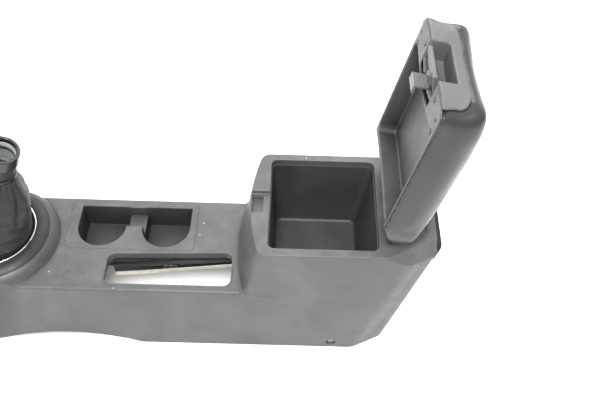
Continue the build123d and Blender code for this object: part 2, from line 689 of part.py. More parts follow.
with BuildPart() as air_duct:
    with BuildSketch(Plane.XZ.offset(-duct_y1)):
        with BuildLine():
            Polyline(*low_run, close=True)
        make_face()
    extrude(amount=duct_y1 - duct_y0)
    with BuildSketch(Plane.XZ.offset(-duct_y1)):
        with BuildLine():
            Polyline(*riser, close=True)
        make_face()
    extrude(amount=duct_y1 - duct_riser_y0)
    with BuildSketch(Plane.XZ.offset(duct_wall - duct_y1)):
        with BuildLine():
            Polyline(*low_run, close=True)
        make_face()
        offset(amount=-duct_wall)
        with Locations((duct_front_x, duct_low_z + duct_height / 2)):
            Rectangle(4 * duct_wall, duct_height - 2 * duct_wall)
    extrude(amount=duct_y1 - duct_y0 - 2 * duct_wall, mode=Mode.SUBTRACT)
    with BuildSketch(Plane.XZ.offset(duct_wall - duct_y1)):
        with BuildLine():
            Polyline(*riser, close=True)
        make_face()
        offset(amount=-duct_wall)
    extrude(amount=duct_y1 - duct_riser_y0 - 2 * duct_wall, mode=Mode.SUBTRACT)
    with BuildSketch(vent_plane.offset(-vent_depth - 2 * duct_wall)):
        Rectangle(2 * vent_open_half, 2 * vent_open_half_height)
    extrude(amount=4 * duct_wall, mode=Mode.SUBTRACT)
air_duct.part.label = "air_duct"
export_step(air_duct.part, "parts/air_duct.step")

# Hinge bracket on the well's floor, its pin and its screws
with BuildPart() as hinge_bracket:
    with BuildSketch(Plane.XY.offset(well_floor_z)):
        with Locations((hinge_x + 1, 0)):
            RectangleRounded(bracket_long, 2 * (bracket_half + bracket_rim), bracket_rim)
        with Locations((bracket_screw_x, bracket_screw_y), (bracket_screw_x, -bracket_screw_y)):
            Circle(small_shank + screw_play, mode=Mode.SUBTRACT)
    extrude(amount=bracket_plate)
    for side in (-1, 1):
        with BuildSketch(Plane.XZ.offset(-side * bracket_half)):
            with Locations((hinge_x - 2, (well_floor_z + hinge_z) / 2)):
                Rectangle(2 * bracket_radius - 4, hinge_z - well_floor_z)
            with Locations((hinge_x, hinge_z)):
                Circle(bracket_radius)
                Circle(pin_radius, mode=Mode.SUBTRACT)
        extrude(amount=side * ear)
hinge_bracket.part.label = "hinge_bracket"
export_step(hinge_bracket.part, "parts/hinge_bracket.step")

with BuildPart() as hinge_pin:
    with BuildSketch(Plane.XZ.offset(-bracket_half - 1.5)):
        with Locations((hinge_x, hinge_z)):
            Circle(pin_radius)
    extrude(amount=2 * bracket_half + 1.5)
    with BuildSketch(Plane.XZ.offset(bracket_half)):
        with Locations((hinge_x, hinge_z)):
            Circle(pin_radius + 2)
    extrude(amount=2)
hinge_pin.part.label = "hinge_pin"
export_step(hinge_pin.part, "parts/hinge_pin.step")

# The lid's outer form, closed: a bowed plan cut by its side profile, with a soft rounded edge
lid_bow_radius = (lid_half ** 2 + lid_front_bow ** 2) / (2 * lid_front_bow)
lid_bow_centre = lid_front_x + lid_bow_radius


def lid_plan_solid(inset, z, height):
    """An upright solid on the lid's plan, moved in by an inset."""
    with BuildPart() as form:
        with BuildSketch(Plane.XY.offset(z)) as plan:
            with BuildLine():
                ThreePointArc((lid_front_x + lid_front_bow, -lid_half), (lid_front_x, 0),
                              (lid_front_x + lid_front_bow, lid_half))
                Polyline((lid_front_x + lid_front_bow, lid_half), (lid_rear_x + 3, lid_half),
                         (lid_rear_x + 3, -lid_half), (lid_front_x + lid_front_bow, -lid_half))
            make_face()
            fillet(plan.vertices().group_by(Axis.X)[0], lid_front_round)
            fillet(plan.vertices().group_by(Axis.X)[-1], lid_rear_round)
            if inset:
                offset(amount=-inset)
        extrude(amount=height)
    return form.part


with BuildPart() as lid_outside:
    with BuildSketch(Plane.XZ.offset(-lid_half - 5)):
        with BuildLine():
            Spline(*lid_crown)
            ThreePointArc(lid_crown[-1], lid_nose, lid_under[0])
            Polyline(*lid_under, (lid_crown[0][0], lid_z), lid_crown[0])
        make_face()
    extrude(amount=2 * lid_half + 10)
    add(lid_plan_solid(0, lid_z - 5, lid_space), mode=Mode.INTERSECT)
    with BuildSketch(Plane.YZ.offset(lid_front_x - 5)):
        with BuildLine():
            Spline((lid_half, lid_z + lid_side), (lid_half - lid_edge / 8, lid_z + lid_side + lid_drop / 2),
                   (lid_half - lid_edge, lid_crest_z), tangents=((0, 1), (-1, 0)))
            Polyline((lid_half - lid_edge, lid_crest_z), (lid_edge - lid_half, lid_crest_z))
            Spline((lid_edge - lid_half, lid_crest_z), (lid_edge / 8 - lid_half, lid_z + lid_side + lid_drop / 2),
                   (-lid_half, lid_z + lid_side), tangents=((-1, 0), (0, -1)))
            Polyline((-lid_half, lid_z + lid_side), (-lid_half, lid_z), (lid_half, lid_z),
                     (lid_half, lid_z + lid_side))
        make_face()
    extrude(amount=lid_rear_x - lid_front_x + 10, mode=Mode.INTERSECT)
lid_turn = Axis((hinge_x, 0, hinge_z), (0, 1, 0))


def stand_open(piece, name):
    """Turn a lid piece from its closed place to its place at rest, name it and write its file."""
    turned = piece.rotate(lid_turn, open_angle)
    turned.label = name
    export_step(turned, f"parts/{name}.step")
    print(name, round(turned.volume), len(turned.solids()), turned.is_valid)


def side_block(outline, half, centre=0.0):
    """A solid from an outline in the side view, between two planes across the console."""
    with BuildPart() as form:
        with BuildSketch(Plane.XZ.offset(-centre - half)):
            with BuildLine():
                Polyline(*outline, close=True)
            make_face()
        extrude(amount=2 * half)
    return form.part


def front_shell(outer, inner, low, height):
    """Upright ring on the bowed front face, between two insets."""
    with BuildPart() as form:
        with BuildSketch(Plane.XY.offset(low)):
            with Locations((lid_bow_centre, 0)):
                Circle(lid_bow_radius - outer)
                Circle(lid_bow_radius - inner, mode=Mode.SUBTRACT)
            with Locations((lid_bow_centre + lid_bow_radius, 0)):
                Rectangle(3 * lid_bow_radius, 3 * lid_bow_radius, mode=Mode.SUBTRACT)
        extrude(amount=height)
    return form.part


def tray_box(grow, top):
    """The lid tray's space, grown by a margin, up to a height, with its front edge bowed."""
    with BuildPart() as form:
        with BuildSketch(Plane.XY.offset(lid_z - 5)) as outline:
            with BuildLine():
                ThreePointArc((tray_x0 + tray_bow, -tray_half), (tray_x0, 0), (tray_x0 + tray_bow, tray_half))
                Polyline((tray_x0 + tray_bow, tray_half), (tray_x1, tray_half), (tray_x1, -tray_half),
                         (tray_x0 + tray_bow, -tray_half))
            make_face()
            fillet(outline.vertices(), tray_corner)
            if grow:
                offset(amount=grow)
        extrude(amount=top - lid_z + 5)
    return form.part


def notch_block(grow):
    """The notch for the hinge in the lid's rear, grown by a margin."""
    return side_block([(hinge_notch_x - grow, lid_z - 10), (hinge_notch_x - grow, hinge_notch_z + grow),
                       (lid_rear_x + 10, hinge_notch_z + grow + notch_rise), (lid_rear_x + 10, lid_z - 10)],
                      hinge_notch_half + grow)


lid_flange = panel
lid_screw_places = [(x, side * y) for x, y in lid_screw_points for side in (-1, 1)]

# Soft top of the lid: hollow over the tray, the front trim, the finger pocket and the hinge
with BuildPart() as lid_pad:
    add(lid_outside.part)
    add(lid_plan_solid(panel_inset, lid_z - 5, 5 + lid_flange + lid_gap), mode=Mode.SUBTRACT)
    add(tray_box(panel + lid_gap, tray_top_z + panel + lid_gap), mode=Mode.SUBTRACT)
    add(front_shell(-5, trim + lid_gap, lid_z - 5, trim_top_z - lid_z + 5 + lid_gap), mode=Mode.SUBTRACT)
    add(side_block([(lid_front_x - 5, lid_z - 5), (lid_front_x - 5, pocket_top_z + panel + lid_gap),
                    (tray_x0, pocket_top_z + panel + lid_gap), (tray_x0, lid_z - 5)],
                   pocket_half + panel + lid_gap), mode=Mode.SUBTRACT)
    add(notch_block(0), mode=Mode.SUBTRACT)
    with BuildSketch(Plane.XY.offset(lid_z)):
        with Locations(*lid_screw_places):
            Circle(small_shank + screw_play)
    extrude(amount=lid_screw_length + 1, mode=Mode.SUBTRACT)

# Inner panel: a flange round the tray that stands up into the pad, open for the latch and the hinge
with BuildPart() as lid_inner_panel:
    add(lid_plan_solid(panel_inset + lid_gap, lid_z, lid_flange))
    add(side_block([(lid_front_x - 5, lid_z - 5), (lid_front_x - 5, lid_z + 10),
                    (lid_under[-1][0], lid_z + 10), (lid_under[-1][0], lid_z - 5)], lid_half + 5),
        mode=Mode.INTERSECT)
    add(front_shell(-5, trim + lid_gap, lid_z - 5, 20), mode=Mode.SUBTRACT)
    add(tray_box(panel, tray_top_z + panel))
    add(tray_box(0, tray_top_z), mode=Mode.SUBTRACT)
    add(side_block([(lid_front_x, lid_z - 10), (lid_front_x, lid_z + lid_flange + 1),
                    (tray_x0 - panel, lid_z + lid_flange + 1), (tray_x0 - panel, lid_z - 10)],
                   pocket_half + panel + lid_gap), mode=Mode.SUBTRACT)
    add(side_block([(lid_front_x, lid_z - 10), (lid_front_x, lid_z), (lid_rear_x, lid_z), (lid_rear_x, lid_z - 10)],
                   lid_half + 5), mode=Mode.SUBTRACT)
    with BuildSketch(Plane.XY.offset(lid_z)):
        with Locations(*lid_screw_places):
            Circle(small_shank + screw_play)
    extrude(amount=lid_flange, mode=Mode.SUBTRACT)

# Front trim: a thin bowed cover with the finger pocket behind it
with BuildPart() as trim_outline:
    with BuildSketch(Plane.YZ.offset(lid_front_x - 10)):
        with Locations((0, (lid_z + trim_top_z) / 2 - trim_round)):
            RectangleRounded(2 * trim_half, trim_top_z - lid_z + 2 * trim_round, trim_round)
    extrude(amount=pocket_back_x - lid_front_x + 20)
    add(side_block([(lid_front_x - 20, lid_z), (lid_front_x - 20, trim_top_z), (tray_x0, trim_top_z),
                    (tray_x0, lid_z)], lid_half), mode=Mode.INTERSECT)
with BuildPart() as lid_front_trim:
    add(trim_outline.part)
    with BuildSketch(Plane.XY.offset(lid_z - 5)):
        with Locations((lid_bow_centre, 0)):
            Circle(lid_bow_radius)
    extrude(amount=trim_top_z - lid_z + 10, mode=Mode.INTERSECT)
    # behind the thin cover everything goes, apart from the pocket's box
    with BuildSketch(Plane.XY.offset(lid_z - 5)):
        with Locations((lid_bow_centre, 0)):
            Circle(lid_bow_radius - trim)
        with Locations(((lid_front_x + pocket_back_x + panel) / 2, 0)):
            Rectangle(pocket_back_x + panel - lid_front_x, 2 * (pocket_half + panel), mode=Mode.SUBTRACT)
    extrude(amount=trim_top_z - lid_z + 10, mode=Mode.SUBTRACT)
    with BuildSketch(Plane.XY.offset(pocket_top_z + panel)):
        with Locations((lid_bow_centre, 0)):
            Circle(lid_bow_radius - trim)
    extrude(amount=trim_top_z - pocket_top_z, mode=Mode.SUBTRACT)
    add(side_block([(lid_front_x - 10, lid_z - 5), (lid_front_x - 10, pocket_top_z),
                    (pocket_back_x, pocket_top_z), (pocket_back_x, lid_z - 5)], pocket_half),
        mode=Mode.SUBTRACT)
    add(side_block([(pocket_back_x - 5, lid_z - 5), (pocket_back_x - 5, pocket_back_z),
                    (pocket_back_x + 10, pocket_back_z), (pocket_back_x + 10, lid_z - 5)],
                   hook_half + 3), mode=Mode.SUBTRACT)
    with BuildSketch(Plane.XZ.offset(-pocket_half - 2 * panel)):
        with Locations((lever_x, lever_z)):
            Circle(lever_pin)
    extrude(amount=2 * pocket_half + 4 * panel, mode=Mode.SUBTRACT)

# Latch lever: a finger paddle, its hub and the hook that goes under the catch plate
with BuildPart() as latch_lever:
    with BuildSketch(Plane.XZ.offset(-paddle_half)):
        with Locations((lever_x, lever_z)):
            Circle(lever_hub)
        with BuildLine():
            Polyline((paddle_x, lid_z - 3), (paddle_x + 2, lid_z - 4), (lever_x, lever_z - lever_hub),
                     (lever_x, lever_z + lever_hub), (paddle_x, lid_z + 1), close=True)
        make_face()
    extrude(amount=2 * paddle_half)
    add(side_block([(lever_x, lever_z + lever_hub), (lever_x + 8, lever_z + 4), (arm_x1, lever_z - 2),
                    (arm_x1, claw_top_z), (claw_x, claw_top_z), (claw_x, claw_top_z - 1.5),
                    (claw_x - 3, claw_top_z - 3.5), (arm_x0, claw_top_z - 3.5), (arm_x0, lever_z - 6),
                    (lever_x, lever_z - lever_hub)], hook_half))
    with BuildSketch(Plane.XZ.offset(-paddle_half)):
        with Locations((lever_x, lever_z)):
            Circle(lever_pin + running)
    extrude(amount=2 * paddle_half, mode=Mode.SUBTRACT)

with BuildPart() as latch_pin:
    with BuildSketch(Plane.XZ.offset(-pocket_half - panel)):
        with Locations((lever_x, lever_z)):
            Circle(lever_pin)
    extrude(amount=2 * (pocket_half + panel))

# Return spring, wound round the pin between the lever and the pocket's wall
spring_turns = 4
spring_length = pocket_half - paddle_half - 2
with BuildPart() as latch_spring:
    with BuildLine() as coil:
        Helix(pitch=spring_length / spring_turns, height=spring_length, radius=lever_pin + 2 * spring_wire,
              center=(lever_x, paddle_half + 1, lever_z), direction=(0, 1, 0))
    with BuildSketch(Plane(origin=coil.line @ 0, z_dir=coil.line % 0)):
        RegularPolygon(spring_wire, 6)
    sweep(is_frenet=True)

# Leaf of the hinge: a plate behind the tray's rear wall with two ears on the pin
leaf_x0 = tray_x1 + panel + lid_gap / 3
with BuildPart() as lid_hinge_leaf:
    add(side_block([(leaf_x0, leaf_low_z), (leaf_x0, leaf_high_z), (leaf_x0 + leaf_thick, leaf_high_z),
                    (leaf_x0 + leaf_thick, leaf_low_z)], leaf_half))
    for side in (-1, 1):
        far = bracket_half - ear - ear_gap
        with BuildSketch(Plane.XZ.offset(side * far)):
            with BuildLine():
                Polyline((leaf_x0, leaf_low_z), (leaf_x0, leaf_high_z), (hinge_x - 3, hinge_z + 7.4),
                         (hinge_x, hinge_z - 8), close=True)
            make_face()
            with Locations((hinge_x, hinge_z)):
                Circle(bracket_radius - 2)
                Circle(pin_radius + running, mode=Mode.SUBTRACT)
        extrude(amount=-side * ear)

with BuildPart() as lid_screws:
    with BuildSketch(Plane.XY.offset(lid_z)):
        with Locations(*lid_screw_places):
            Circle(small_head)
    extrude(amount=-lid_screw_head)
    with BuildSketch(Plane.XY.offset(lid_z)):
        with Locations(*lid_screw_places):
            Circle(small_shank)
    extrude(amount=lid_screw_length)

for piece, name in ((lid_pad, "lid_pad"), (lid_inner_panel, "lid_inner_panel"), (lid_front_trim, "lid_front_trim"),
                    (lid_hinge_leaf, "lid_hinge_leaf"), (latch_lever, "latch_lever"), (latch_pin, "latch_pin"),
                    (latch_spring, "latch_spring"), (lid_screws, "lid_screws")):
    stand_open(piece.part, name)

# Screws of the shell: bin and hinge bracket, and the side screws in their recesses
with BuildPart() as bin_screws:
    for side in (-1, 1):
        with BuildSketch(Plane.XY.offset(bin_top - liner)):
            with Locations((bin_tab_x, side * bin_tab_y)):
                Circle(small_head)
        extrude(amount=-small_head_height)
        with BuildSketch(Plane.XY.offset(bin_top - liner)):
            with Locations((bin_tab_x, side * bin_tab_y)):
                Circle(small_shank)
        extrude(amount=bin_screw_length)
bin_screws.part.label = "bin_screws"
export_step(bin_screws.part, "parts/bin_screws.step")

with BuildPart() as hinge_screws:
    for side in (-1, 1):
        with BuildSketch(Plane.XY.offset(well_floor_z + bracket_plate)):
            with Locations((bracket_screw_x, side * bracket_screw_y)):
                Circle(small_head)
        extrude(amount=small_head_height)
        with BuildSketch(Plane.XY.offset(well_floor_z + bracket_plate)):
            with Locations((bracket_screw_x, side * bracket_screw_y)):
                Circle(small_shank)
        extrude(amount=-bracket_screw_length)
hinge_screws.part.label = "hinge_screws"
export_step(hinge_screws.part, "parts/hinge_screws.step")

with BuildPart() as side_screws:
    for side in (-1, 1):
        seat = side * (side_half(screw_z) - screw_recess_depth)
        with BuildSketch(Plane.XZ.offset(-seat)):
            with Locations((screw_x, screw_z)):
                Circle(screw_head)
        extrude(amount=-side * screw_head_height)
        with BuildSketch(Plane.XZ.offset(-seat)):
            with Locations((screw_x, screw_z)):
                Circle(screw_shank)
        extrude(amount=side * side_screw_length)
side_screws.part.label = "side_screws"
export_step(side_screws.part, "parts/side_screws.step")

for node in (console_body, rear_cover, storage_bin, cup_insert, shift_bezel, chrome_ring, boot_retainer,
             shift_boot, boot_collar, vent_housing, vent_slat, air_duct, hinge_bracket, hinge_pin):
    print(node.part.label, round(node.part.volume), len(node.solids()), node.part.is_valid)
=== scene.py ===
# %% [markdown]
# # A car's floor console, finished for the picture
#
# The console is a moulded shell with a gear lever boot, cup wells, a handbrake slot and a storage box under a
# padded lid. Its construction comes packed as a frame, in metres. This file gives each surface its finish,
# and models what is soft.

# %% Open the frame
import json
from math import cos, pi, radians, sin, tau

import bmesh
import bpy
import numpy as np
from mathutils import Matrix, Vector
from mathutils.bvhtree import BVHTree


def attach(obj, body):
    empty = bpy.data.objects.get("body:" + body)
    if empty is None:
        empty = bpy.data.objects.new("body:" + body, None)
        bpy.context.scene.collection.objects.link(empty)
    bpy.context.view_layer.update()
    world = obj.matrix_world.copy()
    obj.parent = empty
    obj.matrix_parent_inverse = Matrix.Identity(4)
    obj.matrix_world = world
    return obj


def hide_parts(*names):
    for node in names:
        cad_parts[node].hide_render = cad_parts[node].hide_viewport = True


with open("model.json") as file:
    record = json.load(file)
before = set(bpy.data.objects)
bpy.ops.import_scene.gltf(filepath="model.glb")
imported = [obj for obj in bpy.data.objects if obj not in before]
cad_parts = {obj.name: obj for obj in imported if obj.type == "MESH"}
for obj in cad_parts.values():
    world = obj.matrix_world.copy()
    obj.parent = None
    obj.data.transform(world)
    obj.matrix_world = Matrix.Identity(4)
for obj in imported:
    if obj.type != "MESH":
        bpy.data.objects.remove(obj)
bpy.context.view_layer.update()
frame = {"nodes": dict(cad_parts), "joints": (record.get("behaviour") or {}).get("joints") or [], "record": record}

MM = 0.001
nodes = frame["nodes"]
print("nodes in the frame:", len(nodes))

# %% [markdown]
# ## The camera
#
# The photographer stood over the near side and looked down at about 51 degrees. The camera's place, its three
# angles and its focal length, in pixels of a picture 600 wide, were worked out from the console's long edges.
# Its matrix is built from the line of sight, a level right-hand axis and a small roll about the line of
# sight.

# %% Place the camera
picture_width, focal_px, sensor = 600, 699.4, 36.0
pitch, yaw, roll = radians(51.3), radians(1.1), radians(2.5)
camera_place = Vector((0.188, -0.6368, 1.0548))

sight = Vector((sin(yaw) * cos(pitch), cos(yaw) * cos(pitch), -sin(pitch)))
level = Vector((cos(yaw), -sin(yaw), 0.0))
upright = level.cross(sight)
right = level * cos(roll) + upright * sin(roll)
up = upright * cos(roll) - level * sin(roll)
camera_data = bpy.data.cameras.new("camera")
camera_data.sensor_width = sensor
camera_data.lens = focal_px / picture_width * sensor
camera = bpy.data.objects.new("camera", camera_data)
camera.matrix_world = Matrix.Translation(camera_place) @ Matrix((right, up, -sight)).transposed().to_4x4()
bpy.context.scene.collection.objects.link(camera)
bpy.context.scene.camera = camera
print("lens in mm:", round(camera_data.lens, 2))

# %% [markdown]
# ## Shader sums in plain Python
#
# A procedural finish is a tree of small nodes. Wiring them one by one is long and hard to read, so a small
# class wraps a socket: `mask * 0.3 + 1` then adds the Math nodes by itself. Any other node comes from one
# method, which takes the node's type, its settings and the values or links of its sockets.

# %% Wrap the sockets
class Signal:
    """A socket that can stand in a Python sum."""

    def __init__(self, finish, socket):
        self.finish, self.socket = finish, socket

    def math(self, operation, first, second):
        return self.finish.node("ShaderNodeMath", {0: first, 1: second}, operation=operation)

    def __add__(self, other): return self.math("ADD", self, other)
    def __radd__(self, other): return self.math("ADD", other, self)
    def __sub__(self, other): return self.math("SUBTRACT", self, other)
    def __rsub__(self, other): return self.math("SUBTRACT", other, self)
    def __mul__(self, other): return self.math("MULTIPLY", self, other)

    def __abs__(self):
        return self.finish.node("ShaderNodeMath", {0: self}, operation="ABSOLUTE")

    def ramp(self, low, high, start=0.0, end=1.0):
        """Rises smoothly from start to end while the signal goes from low to high."""
        return self.finish.node("ShaderNodeMapRange", {0: self, 1: low, 2: high, 3: start, 4: end},
                                interpolation_type="SMOOTHSTEP")


class Finish:
    """A material and the tree that paints it."""

    def __init__(self, name, **constants):
        self.material = bpy.data.materials.new(name)
        self.material.use_nodes = True
        self.tree = self.material.node_tree
        self.shader = self.tree.nodes["Principled BSDF"]
        for socket, value in constants.items():
            self.shader.inputs[socket.replace("_", " ")].default_value = value
        self.place = self.node("ShaderNodeTexCoord", out="Object")
        self.normal = self.node("ShaderNodeNewGeometry", out="Normal")

    def node(self, kind, sockets=(), out=0, **settings):
        """Any node: its type, the values or links of its sockets, the output wanted and its settings."""
        made = self.tree.nodes.new(kind)
        for name, value in settings.items():
            setattr(made, name, value)
        for name, value in dict(sockets).items():
            if isinstance(value, Signal):
                self.tree.links.new(value.socket, made.inputs[name])
            else:
                made.inputs[name].default_value = value
        return Signal(self, made.outputs[out])

    def feed(self, socket, signal):
        self.tree.links.new(signal.socket, self.shader.inputs[socket])

    def mix(self, share, first, second):
        """A colour between two colours."""
        return self.node("ShaderNodeMix", {0: share, 6: first, 7: second}, out=2, data_type="RGBA")

    def stretch(self, x, y, z):
        """The object's own coordinates, stretched along its axes."""
        return self.node("ShaderNodeVectorMath", {0: self.place, 1: (x, y, z)}, operation="MULTIPLY")

    def noise(self, scale, detail=3.0, rough=0.55, where=None, warp=0.0):
        return self.node("ShaderNodeTexNoise", {"Vector": where or self.place, "Scale": scale, "Detail": detail,
                                                "Roughness": rough, "Distortion": warp})

    def cells(self, scale, feature="F1"):
        return self.node("ShaderNodeTexVoronoi", {"Vector": self.place, "Scale": scale}, feature=feature)

    def away(self, point, where=None):
        """The distance from a point, in metres."""
        return self.node("ShaderNodeVectorMath", {0: where or self.place, 1: point}, out="Value",
                         operation="DISTANCE")

    def facing(self, direction):
        """How far the surface faces a direction, from -1 to 1."""
        return self.node("ShaderNodeVectorMath", {0: self.normal, 1: direction}, out="Value",
                         operation="DOT_PRODUCT")

    def near(self, points, radius):
        """1 within a radius of any of these points, 0 away from them."""
        return sum(self.away(point).ramp(radius, 0.6 * radius) for point in points)

    def rounded(self, radius):
        """The normal with sharp edges softened over a radius, as moulded edges are."""
        return self.node("ShaderNodeBevel", {"Radius": radius}, samples=6)

    def worn_edges(self, soft):
        """1 along edges, where the softened normal leaves the true one."""
        return self.facing(soft).ramp(0.98, 0.8)

    def bump(self, height, depth, normal=None, strength=1.0):
        sockets = {"Height": height, "Distance": depth, "Strength": strength}
        if normal:
            sockets["Normal"] = normal
        return self.node("ShaderNodeBump", sockets)


def shade(level, warm=0.0):
    """A grey, tinted towards warm (above 0) or cool (below 0)."""
    return (level * (1 + warm), level, level * (1 - warm), 1.0)


print("shader helpers ready")

# %% [markdown]
# ## Moulded plastic
#
# Injection-moulded trim is never one flat grey. Its tool has a fine etched grain, which scatters highlights.
# Use leaves it mottled: warm and cool patches of polish and dust, fine rubbed scratches, pale scuffs, and
# edges that are worn smooth. All of that is one function, with the amounts as its inputs, so that the shell,
# the liner and the trims are relatives but not copies. The normal is softened over a millimetre, because no
# moulded edge is razor sharp, and the place where the two normals differ is the mask for the wear.

# %% Plastic finishes
patch_scale, blotch_scale, speck_scale, bundle_scale, dust_scale, wear_scale = 9, 55, 900, 26, 38, 120
along_stretch, across_stretch = (24, 900, 900), (700, 30, 500)   # noise drawn out into lines
recess_shade_reach, scuff_radius = 0.09, 0.0017        # metres


def plastic(name, grey, rough, grain=0.00006, grain_scale=1500, mottle=0.35, warm=0.03, soft=0.0012, wear=0.5,
            scratch=0.5, dust=0.25, scuffs=(), specular=0.5, recess_shade=0.0, ring_shade=None):
    finish = Finish(name, Specular_IOR_Level=specular)
    patches = finish.noise(patch_scale, 4, 0.6, warp=0.6)
    blotches = finish.noise(blotch_scale, 5, 0.65)
    specks = finish.noise(speck_scale, 2, 0.6)
    cool, pale = shade(grey * (1 - mottle), -warm), shade(grey * (1 + mottle), warm)
    colour = finish.mix(patches.ramp(0.3, 0.7), cool, pale)
    colour = finish.mix(blotches.ramp(0.42, 0.75) * (0.35 * mottle), colour, shade(grey * 1.9, warm))
    colour = finish.mix(specks.ramp(0.35, 0.8) * 0.22, colour, shade(grey * 1.7))
    # rubbed scratches, along the console and across it, in bundles
    along = abs(finish.noise(1.0, 2, 0.5, where=finish.stretch(*along_stretch)) - 0.5).ramp(0.006, 0.0)
    across = abs(finish.noise(1.0, 2, 0.5, where=finish.stretch(*across_stretch)) - 0.5).ramp(0.005, 0.0)
    bundles = finish.noise(bundle_scale, 3, 0.6).ramp(0.5, 0.72)
    scratches = (along + across * 0.7) * bundles * scratch
    colour = finish.mix(scratches * 0.55, colour, shade(min(0.5, grey * 3.6)))
    # dust settles on what faces up
    settled = finish.facing((0, 0, 1)).ramp(0.5, 0.95) * finish.noise(dust_scale, 6, 0.7).ramp(0.4, 0.75) * dust
    colour = finish.mix(settled, colour, shade(min(0.4, grey * 2.6), 0.05))
    edge_normal = finish.rounded(soft)
    worn = finish.worn_edges(edge_normal) * finish.noise(wear_scale, 3, 0.6).ramp(0.3, 0.7, 0.5, 1.0) * wear
    colour = finish.mix(worn, colour, shade(min(0.5, grey * 3.0)))
    if recess_shade:
        # painted shade: recesses are darkened by ambient occlusion, where shade falls in them
        occlusion = finish.node("ShaderNodeAmbientOcclusion", {"Distance": recess_shade_reach}, out="AO", samples=6)
        colour = finish.mix(occlusion.ramp(0.85, 0.25) * recess_shade, colour, shade(0.004))
    if ring_shade:
        # painted shadow: a ring round the boss is darkened, whatever the height
        centre, shade_fades, shade_full = ring_shade
        ring_shade_mask = finish.away(centre, finish.stretch(1, 1, 0)).ramp(shade_fades, shade_full)
        colour = finish.mix(ring_shade_mask * 0.55, colour, shade(grey * 0.25))
    if scuffs:
        marks = finish.near(scuffs, scuff_radius) * finish.noise(700, 2, 0.5).ramp(0.42, 0.55)
        colour = finish.mix(marks, colour, shade(0.42))
    finish.feed("Base Color", colour)
    uneven = blotches.ramp(0.2, 0.8, rough - 0.07, rough + 0.09)
    finish.feed("Roughness", uneven - worn * 0.12 - scratches * 0.1)
    pits = finish.cells(grain_scale)
    height = pits * 0.7 + finish.noise(grain_scale * 0.6, 2, 0.5) * 0.6 - scratches * 0.5
    finish.feed("Normal", finish.bump(height, grain, edge_normal, 0.7))
    return finish.material


# a ring of painted shadow round the boot's boss
boss_ring_shade = ((-0.277, 0.0, 0.0), 0.108, 0.094)  # its centre, and the radii where it ends and where it is full
shell_scuffs = [(-0.1905, -0.031, 0.139), (-0.181, -0.058, 0.139), (-0.0775, -0.0835, 0.139),
                (0.0465, 0.043, 0.139), (0.0425, 0.0195, 0.139), (0.209, 0.088, 0.254)]
# in these amounts, the darkening of recesses and the ring round the boss are painted shade
plastics = {
    "shell_plastic": dict(grey=0.063, rough=0.46, soft=0.0016, mottle=0.2, scuffs=shell_scuffs, ring_shade=boss_ring_shade),
    "liner_plastic": dict(grey=0.036, rough=0.44, mottle=0.2, warm=-0.05, wear=0.35, scratch=0.9, dust=0.2,
                          specular=0.35),
    "insert_plastic": dict(grey=0.062, rough=0.5, mottle=0.2, dust=0.3, soft=0.001, recess_shade=0.8),
    "ring_plastic": dict(grey=0.02, rough=0.42, mottle=0.25, warm=-0.03, wear=0.7, dust=0.08, specular=0.25),
    "vent_plastic": dict(grey=0.012, rough=0.42, mottle=0.2, specular=0.25, recess_shade=0.7),
    "duct_plastic": dict(grey=0.008, rough=0.22, mottle=0.3, scratch=0.25, wear=0.1, dust=0.03),
    "skirt_plastic": dict(grey=0.006, rough=0.2, mottle=0.3, scratch=0.1, wear=0.0, dust=0.0, specular=0.22,
                          recess_shade=0.6),
    "lid_panel_plastic": dict(grey=0.066, rough=0.42, mottle=0.16, warm=0.02, wear=0.5, scratch=0.35, dust=0.1,
                              recess_shade=0.85),
    "lid_trim_plastic": dict(grey=0.085, rough=0.4, mottle=0.14, warm=0.01, wear=0.45, scratch=0.3, dust=0.08),
    "latch_plastic": dict(grey=0.1, rough=0.3, mottle=0.2, soft=0.0018, wear=0.7, scratch=0.3, dust=0.0),
    "gloss_collar": dict(grey=0.012, rough=0.16, mottle=0.3, soft=0.0016, wear=0.3, scratch=0.5, dust=0.05),
}
finishes = {name: plastic(name, **amounts) for name, amounts in plastics.items()}
print("plastic finishes:", ", ".join(finishes))

# %% [markdown]
# ## Bright ring, plated steel and leather
#
# Chrome is a mirror with a little life in it: faint wiping marks that blur it in streaks. Zinc plate is
# duller, with a cloudy sheen, and the lid's screws are blackened. The leather of the boot and the vinyl of
# the lid share a pebble of small cells, and the boot has creases on a larger scale. What is inside the boot
# is its pale woven backing. The foam under the handbrake slot is beige and full of pores.

# %% Metal and leather finishes
def metal(name, grey, rough, cloud, blur):
    finish = Finish(name, Metallic=1.0)
    clouds = finish.noise(260, 4, 0.6)
    wiping = finish.noise(1.0, 3, 0.6, where=finish.stretch(90, 90, 2200))
    finish.feed("Base Color", finish.mix(clouds.ramp(0.3, 0.7), shade(grey * (1 - cloud)), shade(grey, 0.01)))
    finish.feed("Roughness", wiping.ramp(0.35, 0.7, rough, rough + blur))
    edge_normal = finish.rounded(0.0006)
    finish.feed("Normal", finish.bump(wiping * 0.5 + clouds * 0.5, 0.00002, edge_normal, 0.5))
    return finish.material


leather_patches, leather_folds, leather_rubs, dust_grey = 14, 46, 30, 0.25


